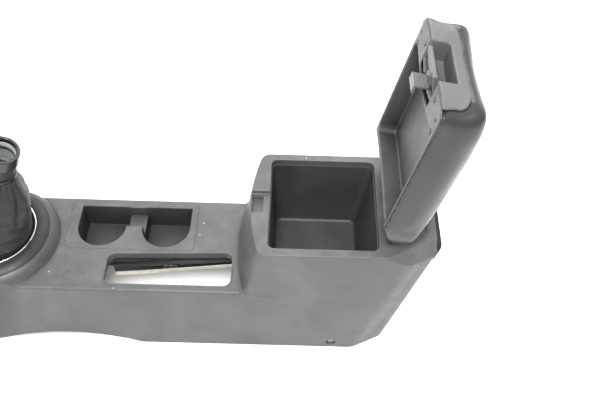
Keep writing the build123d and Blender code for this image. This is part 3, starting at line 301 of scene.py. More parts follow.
def leather(name, grey, rough, pebble, depth, crease, warm=0.0, dust=0.1, specular=0.5):
    finish = Finish(name, Sheen_Weight=0.04, Sheen_Roughness=0.5, Specular_IOR_Level=specular)
    cells = finish.cells(pebble, feature="SMOOTH_F1")
    fine = finish.noise(pebble * 2.2, 3, 0.6)
    patches = finish.noise(leather_patches, 5, 0.6, warp=0.8)
    folds = abs(finish.noise(leather_folds, 4, 0.55, warp=1.2) - 0.5).ramp(0.03, 0.0)
    colour = finish.mix(patches.ramp(0.3, 0.7), shade(grey * 0.78, -warm), shade(grey * 1.22, warm))
    colour = finish.mix(cells.ramp(0.25, 0.65) * 0.35, colour, shade(grey * 0.5))
    rubbed = finish.noise(leather_rubs, 5, 0.65).ramp(0.55, 0.8) * 0.35
    colour = finish.mix(rubbed, colour, shade(grey * 1.9, warm))
    settled = finish.facing((0, 0, 1)).ramp(0.6, 1.0) * fine.ramp(0.45, 0.7) * dust
    colour = finish.mix(settled, colour, shade(dust_grey, 0.04))
    finish.feed("Base Color", colour)
    finish.feed("Roughness", patches.ramp(0.25, 0.75, rough - 0.06, rough + 0.08) - rubbed * 0.15)
    height = 1 - cells + fine * 0.35 - folds * crease
    finish.feed("Normal", finish.bump(height, depth, strength=0.8))
    return finish.material


def backing(name):
    finish = Finish(name, Roughness=0.9)
    weave = finish.node("ShaderNodeTexWave", {"Vector": finish.place, "Scale": 420.0, "Distortion": 1.5})
    fluff = finish.noise(700, 4, 0.6)
    finish.feed("Base Color", finish.mix(fluff.ramp(0.3, 0.7), (0.17, 0.2, 0.19, 1), (0.3, 0.33, 0.32, 1)))
    finish.feed("Normal", finish.bump(weave + fluff, 0.0002, strength=0.6))
    return finish.material


def foam_finish(name):
    finish = Finish(name, Roughness=0.95)
    pores = finish.cells(1300)
    dirt = finish.noise(60, 5, 0.65)
    colour = finish.mix(dirt.ramp(0.35, 0.7), (0.5, 0.46, 0.38, 1), (0.66, 0.62, 0.54, 1))
    finish.feed("Base Color", finish.mix(pores.ramp(0.35, 0.0) * 0.4, colour, (0.25, 0.22, 0.17, 1)))
    finish.feed("Normal", finish.bump(pores, 0.0003, strength=0.7))
    return finish.material


finishes |= {
    "foam": foam_finish("foam"),
    "bright_ring": metal("bright_ring", 0.82, 0.06, 0.08, 0.12),
    "zinc_steel": metal("zinc_steel", 0.42, 0.28, 0.3, 0.18),
    "dark_steel": metal("dark_steel", 0.16, 0.35, 0.4, 0.2),
    "boot_leather": leather("boot_leather", 0.014, 0.5, 520, 0.00022, 0.8, specular=0.35),
    "lid_leather": leather("lid_leather", 0.018, 0.28, 1100, 0.00007, 0.0, warm=-0.02, dust=0.03, specular=0.4),
    "leather_backing": backing("leather_backing"),
}
print("finishes in all:", len(finishes))

# %% [markdown]
# ## Dress the moulded parts
#
# The imported parts keep their meshes. Each gets the finish of its own slot in the record, and the cup insert
# gets a finish of its own, because its top is as pale as the deck while its wells are darkened with painted shade.

# %% Give each part its finish
slots = {part["node"]: part["material_slot"] for part in frame["record"]["subparts"]}
for name, node in nodes.items():
    finish = finishes["insert_plastic" if name == "cup_insert" else slots[name]]
    if node.material_slots:
        for place in node.material_slots:
            place.material = finish
    else:
        node.data.materials.append(finish)
print("parts dressed:", len(nodes))

# %% [markdown]
# ## Small helpers for meshes
#
# Every new piece keeps its object at the origin, with its place in its mesh. Values are in millimetres, as in
# a workshop drawing, and are turned into metres when the mesh is made. The lid's own points are easier to
# give with the lid closed, so one helper turns them to where they are with the lid open.

# %% Mesh helpers
def merged(node):
    """A merged copy of a part's mesh, as a bmesh."""
    work = bmesh.new()
    work.from_mesh(nodes[node].data)
    bmesh.ops.remove_doubles(work, verts=work.verts, dist=0.00001)
    return work


def linked(name, data):
    """A new object in the scene."""
    made = bpy.data.objects.new(name, data)
    bpy.context.scene.collection.objects.link(made)
    return made


def baked(host):
    """The mesh of an object, with its modifiers applied."""
    graph = bpy.context.evaluated_depsgraph_get()
    return bpy.data.meshes.new_from_object(host.evaluated_get(graph))


def new_piece(name, mesh, finish, body, smooth=True):
    """A finished piece: an object at the origin that rides on a body."""
    piece = linked(name, mesh)
    if not mesh.materials:
        mesh.materials.append(finishes[finish])
    if smooth:
        mesh.shade_smooth()
    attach(piece, body)
    return piece


def mesh_of(name, points, faces):
    mesh = bpy.data.meshes.new(name)
    mesh.from_pydata([Vector(point) * MM for point in points], [], faces)
    mesh.validate()
    return mesh


def facing_out(mesh):
    """Turns the faces of a closed mesh outwards."""
    work = bmesh.new()
    work.from_mesh(mesh)
    bmesh.ops.recalc_face_normals(work, faces=work.faces)
    work.to_mesh(mesh)
    work.free()
    return mesh


lid_joint = next(joint for joint in frame["joints"] if joint["name"] == "lid_hinge")
hinge = Vector(lid_joint["pos_m"]) / MM
opened = radians(-lid_joint["range_deg"][0])


def stand(x, y, z):
    """Where a point of the closed lid is while the lid stands open, in millimetres."""
    along, above = x - hinge.x, z - hinge.z
    return Vector((hinge.x + along * cos(opened) + above * sin(opened), y,
                   hinge.z - along * sin(opened) + above * cos(opened)))


def closed(point):
    """Where a point of the open lid is with the lid closed, in millimetres."""
    along, above = point.x - hinge.x, point.z - hinge.z
    return Vector((hinge.x + along * cos(opened) - above * sin(opened), point.y,
                   hinge.z + along * sin(opened) + above * cos(opened)))


def grid_faces(rows, columns, ring=True):
    """Quads between rows of points, where each row may close into a ring."""
    wide = columns if ring else columns - 1
    return [(r * columns + c, r * columns + (c + 1) % columns, (r + 1) * columns + (c + 1) % columns,
             (r + 1) * columns + c) for r in range(rows - 1) for c in range(wide)]


print("the lid stands open by", round(np.degrees(opened), 1), "degrees")

# %% [markdown]
# ## The lid's true form
#
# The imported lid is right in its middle, but the real one has fuller front corners and slimmer shoulders: its
# front edge is nearly straight, and its sides roll over further. Cover, trim and inner panel have to stay
# fitted to each other, so all three go through one smooth function, which moves a point of the closed lid. It
# brings the front corners forward, more so at the top, pulls the trim's seam in and down, lowers the
# shoulders and the nose, and draws the rear corners back a little.

# %% Shape the lid's parts
lid_half, lid_front, seam_z, crest_z, shoulder_z = 94.0, 103.0, 306.0, 326.0, 282.0    # with the lid closed
corner_fill, corner_reach = 33.0, 150.0        # how far the front corners come forward, and fade out
corner_square, corner_round, corner_start = 4.0, 4.0, 50.0   # more at the top, less at the bottom
tail_out, tail_start, tail_end, tail_in, tail_full = 6.0, 250.0, 345.0, 58.0, 86.0
shoulder_drop, shoulder_share, shoulder_start = 9.0, 0.25, 30.0
nose_drop, nose_start, nose_end = 3.0, -20.0, 40.0
seam_half, seam_inward, seam_down = 84.0, 9.0, 9.0
seam_front, seam_back, seam_start, sink_low = 12.0, 50.0, 30.0, 262.0
panel_low, panel_high, panel_share = 258.0, 275.0, 0.6       # below these heights the tuck is weaker


def ease(value, low, high):
    share = min(1.0, max(0.0, (value - low) / (high - low)))
    return share * share * (3 - 2 * share)


def true_lid(point):
    """Moves a point of the lid, in metres, to where it is on the real lid."""
    here = closed(point / MM)
    side = abs(here.y)
    height = ease(here.z, shoulder_z, crest_z)
    at_seam = 1 - ease(here.x, lid_front + seam_front, lid_front + seam_back)
    tuck = seam_inward * ease(side, seam_start, seam_half) * (1 - ease(side, seam_half, lid_half + 2))
    tuck *= at_seam * (1 - panel_share * ease(-here.z, -panel_high, -panel_low))
    sink = seam_down * at_seam * ease(here.z, sink_low, seam_z) * (1 - ease(here.z, seam_z, crest_z))
    corner = ease(side, corner_start, lid_half) * ((corner_round + corner_square) * height - corner_round)
    forward = corner_fill * min(1.0, side / lid_half) ** 2 + corner
    forward *= 1 - ease(here.x, lid_front, lid_front + corner_reach)
    shoulder = shoulder_share + (1 - shoulder_share) * ease(side, shoulder_start, lid_half)
    nose = nose_drop * (1 - ease(here.x, lid_front + nose_start, lid_front + nose_end))
    back = tail_out * ease(here.x, tail_start, tail_end) * ease(side, tail_in, tail_full)
    return stand(here.x - forward + back, here.y - np.sign(here.y) * tuck,
                 here.z - height * (shoulder * shoulder_drop + nose) - sink) * MM


longest_edge, panel_voxel, panel_smoothing, trim_smoothing = 14.0, 1.1, 3, 14


def voxel_copy(name, node, voxel, smoothing):
    """An even copy of a lid part in its true form, its edges rounded by smoothing."""
    work = merged(node)
    bmesh.ops.triangulate(work, faces=work.faces)
    long_edges = [edge for edge in work.edges if edge.calc_length() > longest_edge * MM]
    bmesh.ops.subdivide_edges(work, edges=long_edges, cuts=3)
    bmesh.ops.triangulate(work, faces=work.faces)
    for vertex in work.verts:
        vertex.co = true_lid(vertex.co)
    mesh = bpy.data.meshes.new(name)
    work.to_mesh(mesh)
    work.free()
    host = linked(name, mesh)
    remesh = host.modifiers.new("remesh", "REMESH")
    remesh.mode, remesh.voxel_size = "VOXEL", voxel * MM
    smooth = host.modifiers.new("smooth", "SMOOTH")
    smooth.factor, smooth.iterations = 0.5, smoothing
    even = baked(host)
    bpy.data.objects.remove(host)
    even.materials.clear()
    even.name = name
    return even


hard_meshes = []
for name, node, smoothing, finish in (("lid_lining", "lid_inner_panel", panel_smoothing, "lid_panel_plastic"),
                                      ("lid_face", "lid_front_trim", trim_smoothing, "lid_trim_plastic")):
    piece = new_piece(name, voxel_copy(name, node, panel_voxel, smoothing), finish, "lid")
    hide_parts(node)
    hard_meshes.append(piece.data)
    print(name, "has", len(piece.data.polygons), "faces")

# %% [markdown]
# ## The padded lid
#
# The lid's top is vinyl over foam: it is crowned, its edges are soft, and it rolls over tightly where it
# meets the hard trim and the inner panel. A subdivided box looks inflated all over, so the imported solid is
# the start: it is remeshed, drawn in a little, and swollen again by a cloth simulation with pressure inside
# and no gravity. Near the hard parts, which hold the cover down, a point may hardly move, and elsewhere its
# move is capped.

# %% Prepare the lid's cover
cover_voxel, cover_smoothing, rounds, round_step = 3.4, 3, 40, 0.6
hold_near, hold_far = 3.0, 16.0                # a point moves freely when it is this far from the hard parts
firm_start, firm_end, firm_share = 230.0, 330.0, 0.85        # the rear end keeps its form
drawn_in, most_move, smooth_moves, move_step = 1.2, 2.6, 16, 0.5

even = voxel_copy("lid_cover", "lid_pad", cover_voxel, cover_smoothing)
cover = linked("lid_cover", even)


def surface_of(meshes):
    """A search tree over the surfaces of some meshes."""
    points, faces = [], []
    for mesh in meshes:
        first = len(points)
        points += [vertex.co.copy() for vertex in mesh.vertices]
        faces += [[first + index for index in face.vertices] for face in mesh.polygons]
    return BVHTree.FromPolygons(points, faces)


hard = surface_of(hard_meshes)
freedom = [ease(hard.find_nearest(vertex.co)[3] / MM, hold_near, hold_far) for vertex in even.vertices]
share = np.array(freedom)[:, None]
firm = np.array([[1 - firm_share * ease(closed(vertex.co / MM).x, firm_start, firm_end)]
                 for vertex in even.vertices])
ends = np.array([tuple(edge.vertices) for edge in even.edges])
starts, stops = np.concatenate((ends[:, 0], ends[:, 1])), np.concatenate((ends[:, 1], ends[:, 0]))
degree = np.bincount(starts, minlength=len(even.vertices))[:, None]


def smoothed(values, step, times):
    """Values of the cover's points, each drawn towards the mean of its neighbours, again and again."""
    for _ in range(times):
        sums = [np.bincount(starts, values[stops, axis], len(values)) for axis in range(3)]
        values = values + (np.stack(sums, 1) / degree - values) * step
    return values


rest = [Vector(place) for place in smoothed(np.array([list(vertex.co) for vertex in even.vertices]),
                                            round_step * share * firm, rounds)]
for vertex, place in zip(even.vertices, rest):
    vertex.co = place
even.update()
normals = [vertex.normal.copy() for vertex in even.vertices]
for vertex, normal, free in zip(even.vertices, normals, freedom):
    vertex.co -= normal * (drawn_in * free * MM)
print("points free to swell:", sum(free > 0 for free in freedom), "of", len(freedom))

# %% Swell the lid's cover
pressure, stiffness, frames = 4.0, 25.0, 20
held = cover.vertex_groups.new(name="held")
for index, free in enumerate(freedom):
    held.add([index], 1.0 - free, "REPLACE")
cloth = cover.modifiers.new("cloth", "CLOTH")
cloth.settings.quality = 5
cloth.settings.use_pressure = True
cloth.settings.uniform_pressure_force = pressure
cloth.settings.effector_weights.gravity = 0.0
cloth.settings.vertex_group_mass = "held"
cloth.settings.tension_stiffness = cloth.settings.compression_stiffness = stiffness
for frame_number in range(1, frames + 1):
    bpy.context.scene.frame_set(frame_number)
graph = bpy.context.evaluated_depsgraph_get()
swollen = [vertex.co.copy() for vertex in cover.evaluated_get(graph).data.vertices]
cover.modifiers.clear()
cover.vertex_groups.clear()
bpy.context.scene.frame_set(1)
moves = []
for place, target, free in zip(rest, swollen, freedom):
    move = target - place
    cap = most_move * free * MM
    moves.append(list(move.normalized() * cap if move.length > cap else move))
moves = smoothed(np.array(moves), move_step * share, smooth_moves)
for vertex, place, move in zip(even.vertices, rest, moves):
    vertex.co = place + Vector(move)
even.update()
bpy.data.objects.remove(cover)
even.materials.clear()
lid_cover = new_piece("lid_cover", even, "lid_leather", "lid")
fine = lid_cover.modifiers.new("fine", "SUBSURF")
fine.levels = fine.render_levels = 1
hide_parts("lid_pad")
furthest = np.linalg.norm(moves, axis=1).max() / MM
print("lid cover:", len(even.vertices), "points, furthest move", round(furthest, 2), "mm")

# %% [markdown]
# ## The gear lever's boot
#
# A boot is a sleeve of thin leather, gathered at the neck and held in a ring at its foot. With the lever gone
# it slumps: long folds run down from the neck, slack rolls lie over the foot, and a tuck stands out on the
# side towards the cups. It is modelled as rings along a leaning line, each pushed in or out by the folds,
# because a simulated sleeve would settle differently with each change of its size.

# %% Sew the boot
boot_x, boot_low, boot_high = -277.0, 153.0, 331.0
boot_lean, boot_bend, boot_tilt = 64.0, 1.3, radians(20)
boot_rings, boot_points, boot_thick = 120, 200, 1.3
boot_stations = ((0.0, 60.5), (0.1, 60.6), (0.35, 59.5), (0.46, 56.2), (0.55, 51.0), (0.63, 45.0), (0.7, 38.0),
                 (0.77, 30.0), (0.83, 25.2), (0.9, 23.2), (1.0, 22.8))
# each fold: where round the boot, how deep and how wide
boot_folds = ((0.3, 4.2, 0.34), (1.5, 3.0, 0.3), (2.5, 4.5, 0.36), (3.6, 3.4, 0.3), (4.4, 5.0, 0.28),
              (5.2, 3.6, 0.26))
fold_gain, roll_deep, rolls, tuck_turn, tuck_out, tuck_sharp = 1.5, 3.6, 46, 5.75, 9.0, 0.035
tie_share, tie_deep, gathers, gather_deep = 0.86, 1.6, 26, 0.55


def bell(value, centre, width):
    return np.exp(-((value - centre) / width) ** 2)


def boot_frame(share):
    """The middle of the boot at a share of its height, and the directions across it and along it."""
    tilt = boot_tilt * share
    centre = Vector((boot_x + boot_lean * share ** boot_bend, 0, boot_low + (boot_high - boot_low) * share))
    return centre, Vector((cos(tilt), 0, -sin(tilt))), Vector((sin(tilt), 0, cos(tilt)))


def boot_surface(share, angle):
    """A point of the boot at a share of its height and an angle round it, in millimetres."""
    radius = np.interp(share, *zip(*boot_stations))
    # long folds from the neck, which twist as they go down
    for turn, depth, width in boot_folds:
        offset = (angle - turn - 0.5 * (share - 0.5) + pi) % tau - pi
        radius -= fold_gain * depth * bell(offset, 0.0, width) * bell(share, 0.5, 0.28)
    # slack rolls over the foot
    wave = 0.5 + 0.5 * np.sin(share * rolls + 1.6 * np.sin(angle * 2 + 0.7) + angle)
    radius -= roll_deep * bell(share, 0.3, 0.26) * wave
    # the tuck towards the cups, with a sharp crease on its near side
    offset = (angle - tuck_turn - 0.75 * (share - 0.45) + pi) % tau - pi
    crease = 1 / (1 + np.exp(-offset / tuck_sharp))
    tuck = tuck_out * crease * np.exp(-max(offset, 0.0) / 0.55) - 2.5 * bell(offset, -0.08, 0.1)
    radius += tuck * bell(share, 0.56, 0.17)
    # fine gathers under the tie
    radius += gather_deep * np.sin(angle * gathers + 2 * np.sin(angle * 3)) * bell(share, 0.8, 0.07)
    radius -= tie_deep * bell(share, tie_share, 0.012)
    centre, across, axis = boot_frame(share)
    return centre + (across * cos(angle) + Vector((0, 1, 0)) * sin(angle)) * float(radius)


points = [boot_surface(ring / (boot_rings - 1), tau * step / boot_points)
          for ring in range(boot_rings) for step in range(boot_points)]
boot = new_piece("boot", mesh_of("boot", points, grid_faces(boot_rings, boot_points)), "boot_leather", "root")
boot.data.materials.append(finishes["leather_backing"])
skin = boot.modifiers.new("skin", "SOLIDIFY")
skin.thickness, skin.offset, skin.material_offset = boot_thick * MM, -1.0, 1
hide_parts("shift_boot")

# %% [markdown]
# A strap holds the neck of the boot, and the sleeve's turned-in lining shows inside the collar. Both are
# rings on the boot's leaning line, so they come from one function that sweeps a closed section round that
# line.

# %% Strap and lining
def ring_on_boot(name, share, section, finish, steps=96):
    """Sweeps a closed section, of radii and heights in millimetres, round the boot's line."""
    centre, across, axis = boot_frame(share)
    count = len(section)
    loops = [centre + (across * cos(tau * step / steps) + Vector((0, 1, 0)) * sin(tau * step / steps)) * radius
             + axis * height for step in range(steps) for radius, height in section]
    faces = [(s * count + k, s * count + (k + 1) % count, ((s + 1) % steps) * count + (k + 1) % count,
              ((s + 1) % steps) * count + k) for s in range(steps) for k in range(count)]
    return new_piece(name, facing_out(mesh_of(name, loops, faces)), finish, "root")


strap_half, strap_thick, neck_radius, strap_edge, strap_sunk = 3.0, 1.3, 24.2, 0.4, 0.8
strap_side = strap_half - strap_edge
strap_outer, strap_inner = neck_radius + strap_thick, neck_radius - strap_sunk
ring_on_boot("boot_strap", tie_share, [
    (neck_radius, -strap_half), (strap_outer, -strap_side), (strap_outer, strap_side),
    (neck_radius, strap_half), (strap_inner, strap_side), (strap_inner, -strap_side)], "gloss_collar")
lining_outer, lining_inner, lining_low, lining_top = 19.9, 19.1, 0.2, 13.0
ring_on_boot("boot_lining", 1.0, [(lining_outer, lining_low), (lining_outer, lining_top),
                                  (lining_inner, lining_top), (lining_inner, lining_low)], "leather_backing")
print("strap and lining made")

# %% [markdown]
# ## Screws, from one tree
#
# All screws of the console are pan heads with a cross recess. One head is modelled for each size by cutting
# two wedges out of a domed disc. A Geometry Nodes tree then sets it on points: each point carries the
# direction that its screw faces, and a seeded random turn, because no two screws stop at the same angle. The
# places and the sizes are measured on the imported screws, which these replace.

# %% Measure the screws
def solids_of(node):
    """The separate solids of a part, each as an array of its points, in millimetres."""
    work = merged(node)
    todo, found = set(work.verts), []
    while todo:
        grow, solid = [todo.pop()], []
        while grow:
            vertex = grow.pop()
            solid.append(vertex.co / MM)
            for edge in vertex.link_edges:
                other = edge.other_vert(vertex)
                if other in todo:
                    todo.remove(other)
                    grow.append(other)
        found.append(np.array([list(point) for point in solid]))
    work.free()
    return found


def measure_screw(solid, aim):
    """Seat, head radius, head height, shank radius and shank length of a screw that faces a direction."""
    aim = np.array(aim)
    level = solid @ aim
    centre = solid.mean(0) - aim * level.mean()
    radial = np.linalg.norm(solid - centre - np.outer(level, aim), axis=1)
    head, shank = radial.max(), radial[level < level.min() + 0.1].max()
    seat = level[radial > 0.9 * head].min()
    return centre + aim * seat, head, level.max() - seat, shank, seat - level.min()


lid_under = (stand(0, 0, 0) - stand(0, 0, 1)).normalized()
screw_sets = []
for node, body, aims in (("lid_screws", "lid", (lid_under,)), ("side_screws", "root", ((0, -1, 0), (0, 1, 0))),
                         ("hinge_screws", "root", ((0, 0, 1),)), ("bin_screws", "root", ((0, 0, -1),))):
    for solid in solids_of(node):
        aim = aims[0] if len(aims) == 1 or solid[:, 1].mean() < 0 else aims[1]
        screw_sets.append((node, body, tuple(aim), measure_screw(solid, aim)))
print("screws measured:", len(screw_sets))


# %% Model a screw
head_profile = ((1.0, 0.45), (0.93, 0.75), (0.78, 0.93), (0.5, 1.0))     # shares of the radius and the height
cross_wide, cross_long, cross_deep, cross_foot, cross_mouth = 0.13, 0.62, 0.75, 0.6, 1.2


def screw_mesh(name, head, height, shank, length, around=24):
    """A pan-head screw that faces +Z, its seat at the origin, with a cross recess."""
    profile = [(shank, -length), (shank, 0.0), (head, 0.0)]
    profile += [(wide * head, high * height) for wide, high in head_profile]
    points = [(0, 0, -length)]
    for radius, z in profile:
        points += [(radius * cos(tau * k / around), radius * sin(tau * k / around), z) for k in range(around)]
    points.append((0, 0, height))
    faces = [(0, 1 + (k + 1) % around, 1 + k) for k in range(around)]
    for row in range(len(profile) - 1):
        base = 1 + row * around
        faces += [(base + k, base + (k + 1) % around, base + around + (k + 1) % around, base + around + k)
                  for k in range(around)]
    base = 1 + (len(profile) - 1) * around
    faces += [(base + k, base + (k + 1) % around, len(points) - 1) for k in range(around)]
    body = linked(name, mesh_of(name, points, faces))
    sides = [(3, 2, 1, 0), (4, 5, 6, 7), (0, 1, 5, 4), (1, 2, 6, 5), (2, 3, 7, 6), (3, 0, 4, 7)]
    for wide, long in ((cross_wide * head, cross_long * head), (cross_long * head, cross_wide * head)):
        box = [(sx * wide * share, sy * long * share, z)
               for z, share in ((height - cross_deep * height, cross_foot), (height + 1, cross_mouth))
               for sx, sy in ((-1, -1), (1, -1), (1, 1), (-1, 1))]
        cutter = linked("cutter", mesh_of("cutter", box, sides))
        cut = body.modifiers.new("cut", "BOOLEAN")
        cut.operation, cut.object, cut.solver = "DIFFERENCE", cutter, "EXACT"
        body.data = baked(body)
        body.modifiers.clear()
        bpy.data.objects.remove(cutter)
    return body


# %% Build the tree that sets them
def tree_with(name, inputs):
    """A Geometry Nodes tree with named inputs and a geometry output."""
    tree = bpy.data.node_groups.new(name, "GeometryNodeTree")
    sockets = {label: tree.interface.new_socket(label, in_out="INPUT", socket_type=kind)
               for label, kind in ({"Geometry": "NodeSocketGeometry"} | inputs).items()}
    tree.interface.new_socket("Geometry", in_out="OUTPUT", socket_type="NodeSocketGeometry")
    entry, leave = tree.nodes.new("NodeGroupInput"), tree.nodes.new("NodeGroupOutput")
    return tree, sockets, entry, leave


def grow_piece(name, base, tree, sockets, values, finish, body, smooth=False):
    """Runs a tree on a base mesh, turns the result into a plain mesh and makes it a piece."""
    host = linked(name + "_host", base)
    run = host.modifiers.new("tree", "NODES")
    run.node_group = tree
    for label, value in values.items():
        run[sockets[label].identifier] = value
    mesh = baked(host)
    bpy.data.objects.remove(host)
    mesh.name = name
    return new_piece(name, mesh, finish, body, smooth=smooth)


def node_in(tree, kind, links=(), **settings):
    """A node of any tree: its settings, and the values or source sockets of its inputs."""
    made = tree.nodes.new(kind)
    for label, value in settings.items():
        setattr(made, label, value)
    for label, value in dict(links).items():
        if isinstance(value, bpy.types.NodeSocket):
            tree.links.new(value, made.inputs[label])
        else:
            made.inputs[label].default_value = value
    return made


setter, setter_sockets, entry, leave = tree_with("set_screws", {
    "Screw": "NodeSocketObject", "Seed": "NodeSocketInt", "Finish": "NodeSocketMaterial"})
aim_of = node_in(setter, "GeometryNodeInputNamedAttribute", {"Name": "aim"}, data_type="FLOAT_VECTOR")
turned = node_in(setter, "FunctionNodeAlignRotationToVector", {"Vector": aim_of.outputs["Attribute"]}, axis="Z")
spin = node_in(setter, "FunctionNodeRandomValue", {2: 0.0, 3: tau, "Seed": entry.outputs["Seed"]},
               data_type="FLOAT")
spin_z = node_in(setter, "ShaderNodeCombineXYZ", {"Z": spin.outputs[1]})
spun = node_in(setter, "FunctionNodeEulerToRotation", {0: spin_z.outputs[0]})
both = node_in(setter, "FunctionNodeRotateRotation", {0: turned.outputs[0], 1: spun.outputs[0]},
               rotation_space="LOCAL")
model = node_in(setter, "GeometryNodeObjectInfo", {"Object": entry.outputs["Screw"]})
placed = node_in(setter, "GeometryNodeInstanceOnPoints", {
    "Points": entry.outputs["Geometry"], "Instance": model.outputs["Geometry"], "Rotation": both.outputs[0]})
real = node_in(setter, "GeometryNodeRealizeInstances", {0: placed.outputs[0]})
coated = node_in(setter, "GeometryNodeSetMaterial", {
    "Geometry": real.outputs[0], "Material": entry.outputs["Finish"]})
setter.links.new(coated.outputs[0], leave.inputs[0])


# %% Set the screws
def points_with_aim(name, places, aims):
    mesh = mesh_of(name, places, [])
    attribute = mesh.attributes.new("aim", "FLOAT_VECTOR", "POINT")
    attribute.data.foreach_set("vector", np.array(aims, np.float32).ravel())
    return mesh


first_seed = 3
for seed, node in enumerate(dict.fromkeys(row[0] for row in screw_sets), first_seed):
    rows = [row for row in screw_sets if row[0] == node]
    head, height, shank, length = rows[0][3][1:]
    pattern = screw_mesh(node + "_pattern", head, height, shank, length)
    steel = "dark_steel" if node == "lid_screws" else "zinc_steel"
    base = points_with_aim(node + "_places", [row[3][0] for row in rows], [row[2] for row in rows])
    piece = grow_piece(node + "_cross", base, setter, setter_sockets,
                       {"Screw": pattern, "Seed": seed, "Finish": finishes[steel]},
                       steel, rows[0][1])
    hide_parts(node)
    bpy.data.objects.remove(pattern)
    print(node, "set:", len(rows), "screws of", round(2 * head, 1), "mm")

# %% [markdown]
# ## Ribs on the latch
#
# The latch's hook has a ribbed face. A rib is a bar repeated along a line, which suits a second small tree: a
# mesh line with the number and the step as inputs, a bar on each point, then Realize Instances.

# %% Build the tree of ribs
ribber, rib_sockets, entry, leave = tree_with("ribs", {
    "Count": "NodeSocketInt", "Start": "NodeSocketVector", "Step": "NodeSocketVector",
    "Size": "NodeSocketVector", "Turn": "NodeSocketRotation", "Finish": "NodeSocketMaterial"})
row = node_in(ribber, "GeometryNodeMeshLine", {
    "Count": entry.outputs["Count"], "Start Location": entry.outputs["Start"], "Offset": entry.outputs["Step"]},
    mode="OFFSET")
bar = node_in(ribber, "GeometryNodeMeshCube", {"Size": entry.outputs["Size"]})
ribs = node_in(ribber, "GeometryNodeInstanceOnPoints", {
    "Points": row.outputs[0], "Instance": bar.outputs[0], "Rotation": entry.outputs["Turn"]})
real = node_in(ribber, "GeometryNodeRealizeInstances", {0: ribs.outputs[0]})
coated = node_in(ribber, "GeometryNodeSetMaterial", {
    "Geometry": real.outputs[0], "Material": entry.outputs["Finish"]})
ribber.links.new(coated.outputs[0], leave.inputs[0])
print("tree of ribs built")

# %% Ribs on the hook
hook_half, arm_front, hook_top, hook_low = 11.0, 135.5, 259.0, 244.0
rib_count, rib_deep, rib_sunk = 7, 0.8, 0.1
rib_step = (hook_top - hook_low) / rib_count
rib_x = arm_front - rib_deep / 2 + rib_sunk
first, following = stand(rib_x, 0, hook_low + rib_step / 2), stand(rib_x, 0, hook_low + 1.5 * rib_step)
grow_piece("hook_ribs", bpy.data.meshes.new("hook_ribs"), ribber, rib_sockets, {
    "Count": rib_count, "Start": first * MM, "Step": (following - first) * MM,
    "Size": Vector((rib_deep, 2 * hook_half, rib_step / 2)) * MM, "Turn": (0.0, opened, 0.0),
    "Finish": finishes["latch_plastic"]}, "latch_plastic", "latch")
print("ribs on the hook:", rib_count)

# %% [markdown]
# ## Behind the handbrake slot
#
# Looking down through the slot, one sees a deep dark skirt that hangs behind its far edge, with a step in it,
# a strip of pale foam along its lower edge, and a small clip. The skirt follows the slot's slanting edge and
# is shallower towards the rear. Both it and the strip are closed bands, made from a few rows of points along
# that edge.

# %% Hang the skirt and its foam
slot_x0, slot_x1, slot_y0, slot_y1 = -95.0, 97.0, -21.6, -14.8
skirt_top, skirt_low0, skirt_low1, skirt_thick, skirt_bend, step_in = 124.0, 86.5, 108.5, 1.6, 1.15, 1.8
foam_deep, foam_thick = 11.0, 5.0
skirt_rows = [(0.4, 0, 0), (0.4, 0.24, 0), (0.4 + step_in, 0.27, 0), (0.4 + step_in, 0.36, 0), (0.4, 0.4, 0),
              (0.8, 0.7, 0), (0.2, 1, -1.2), (0.2, 1, 0), (skirt_thick, 1, 0),
              (skirt_thick + step_in + 0.4, 0.5, 0), (skirt_thick + step_in, 0, 0)]
foam_rows = [(0.6, 1, 0), (-0.4, 1, 1.5), (-0.6, 1, foam_deep - 3), (0.4, 1, foam_deep),
             (foam_thick, 1, foam_deep), (foam_thick, 1, 0)]


def slot_band(name, rows, finish, columns=48):
    """A closed band behind the slot: a row is an offset in y, a share of the skirt's depth and a drop."""
    points = []
    for offset, depth, drop in rows:
        for column in range(columns):
            share = column / (columns - 1)
            low = skirt_low0 + (skirt_low1 - skirt_low0) * share ** skirt_bend
            points.append((slot_x0 + (slot_x1 - slot_x0) * share,
                           slot_y0 + (slot_y1 - slot_y0) * share + offset,
                           skirt_top + (low - skirt_top) * depth - drop))
    faces = grid_faces(len(rows), columns, ring=False)
    last = (len(rows) - 1) * columns
    faces += [(last + c, last + c + 1, c + 1, c) for c in range(columns - 1)]
    faces += [tuple(row * columns for row in range(len(rows)))]
    faces += [tuple(row * columns + columns - 1 for row in reversed(range(len(rows))))]
    new_piece(name, facing_out(mesh_of(name, points, faces)), finish, "root", smooth=False)


slot_band("slot_skirt", skirt_rows, "skirt_plastic")
slot_band("slot_foam", foam_rows, "foam")
print("skirt and foam:", slot_x1 - slot_x0, "mm long")

# %% Put the clip on the skirt
clip_x0, clip_x1, clip_low, clip_high, clip_y = -19.0, 9.0, 98.0, 104.0, -18.6
clip_seat, clip_out, clip_back, clip_rise, clip_lobes, clip_swell = 1.6, 1.9, 2.6, 1.5, 3, 0.6
clip_rows, arc_points = 24, 7
clip_points = []
for index in range(clip_rows):
    share = index / (clip_rows - 1)
    swell = 1 + clip_swell * sin(clip_lobes * pi * share) ** 2
    x = clip_x0 + (clip_x1 - clip_x0) * share
    middle = (clip_low + clip_high) / 2 + share * clip_rise
    end = min(1.0, 6 * share + 0.2, 6 - 6 * share + 0.2)        # its ends are rounded off
    half = (clip_high - clip_low) / 2 * (0.55 + 0.35 * swell) * end
    clip_points += [(x, clip_y + clip_seat - clip_out * swell * cos(turn), middle + half * sin(turn))
                    for turn in np.linspace(-pi / 2, pi / 2, arc_points)]
    clip_points += [(x, clip_y + clip_back, middle + half), (x, clip_y + clip_back, middle - half)]
ring = arc_points + 2
clip_faces = grid_faces(clip_rows, ring) + [tuple(range(ring)),
                                            tuple(reversed(range(ring * (clip_rows - 1), ring * clip_rows)))]
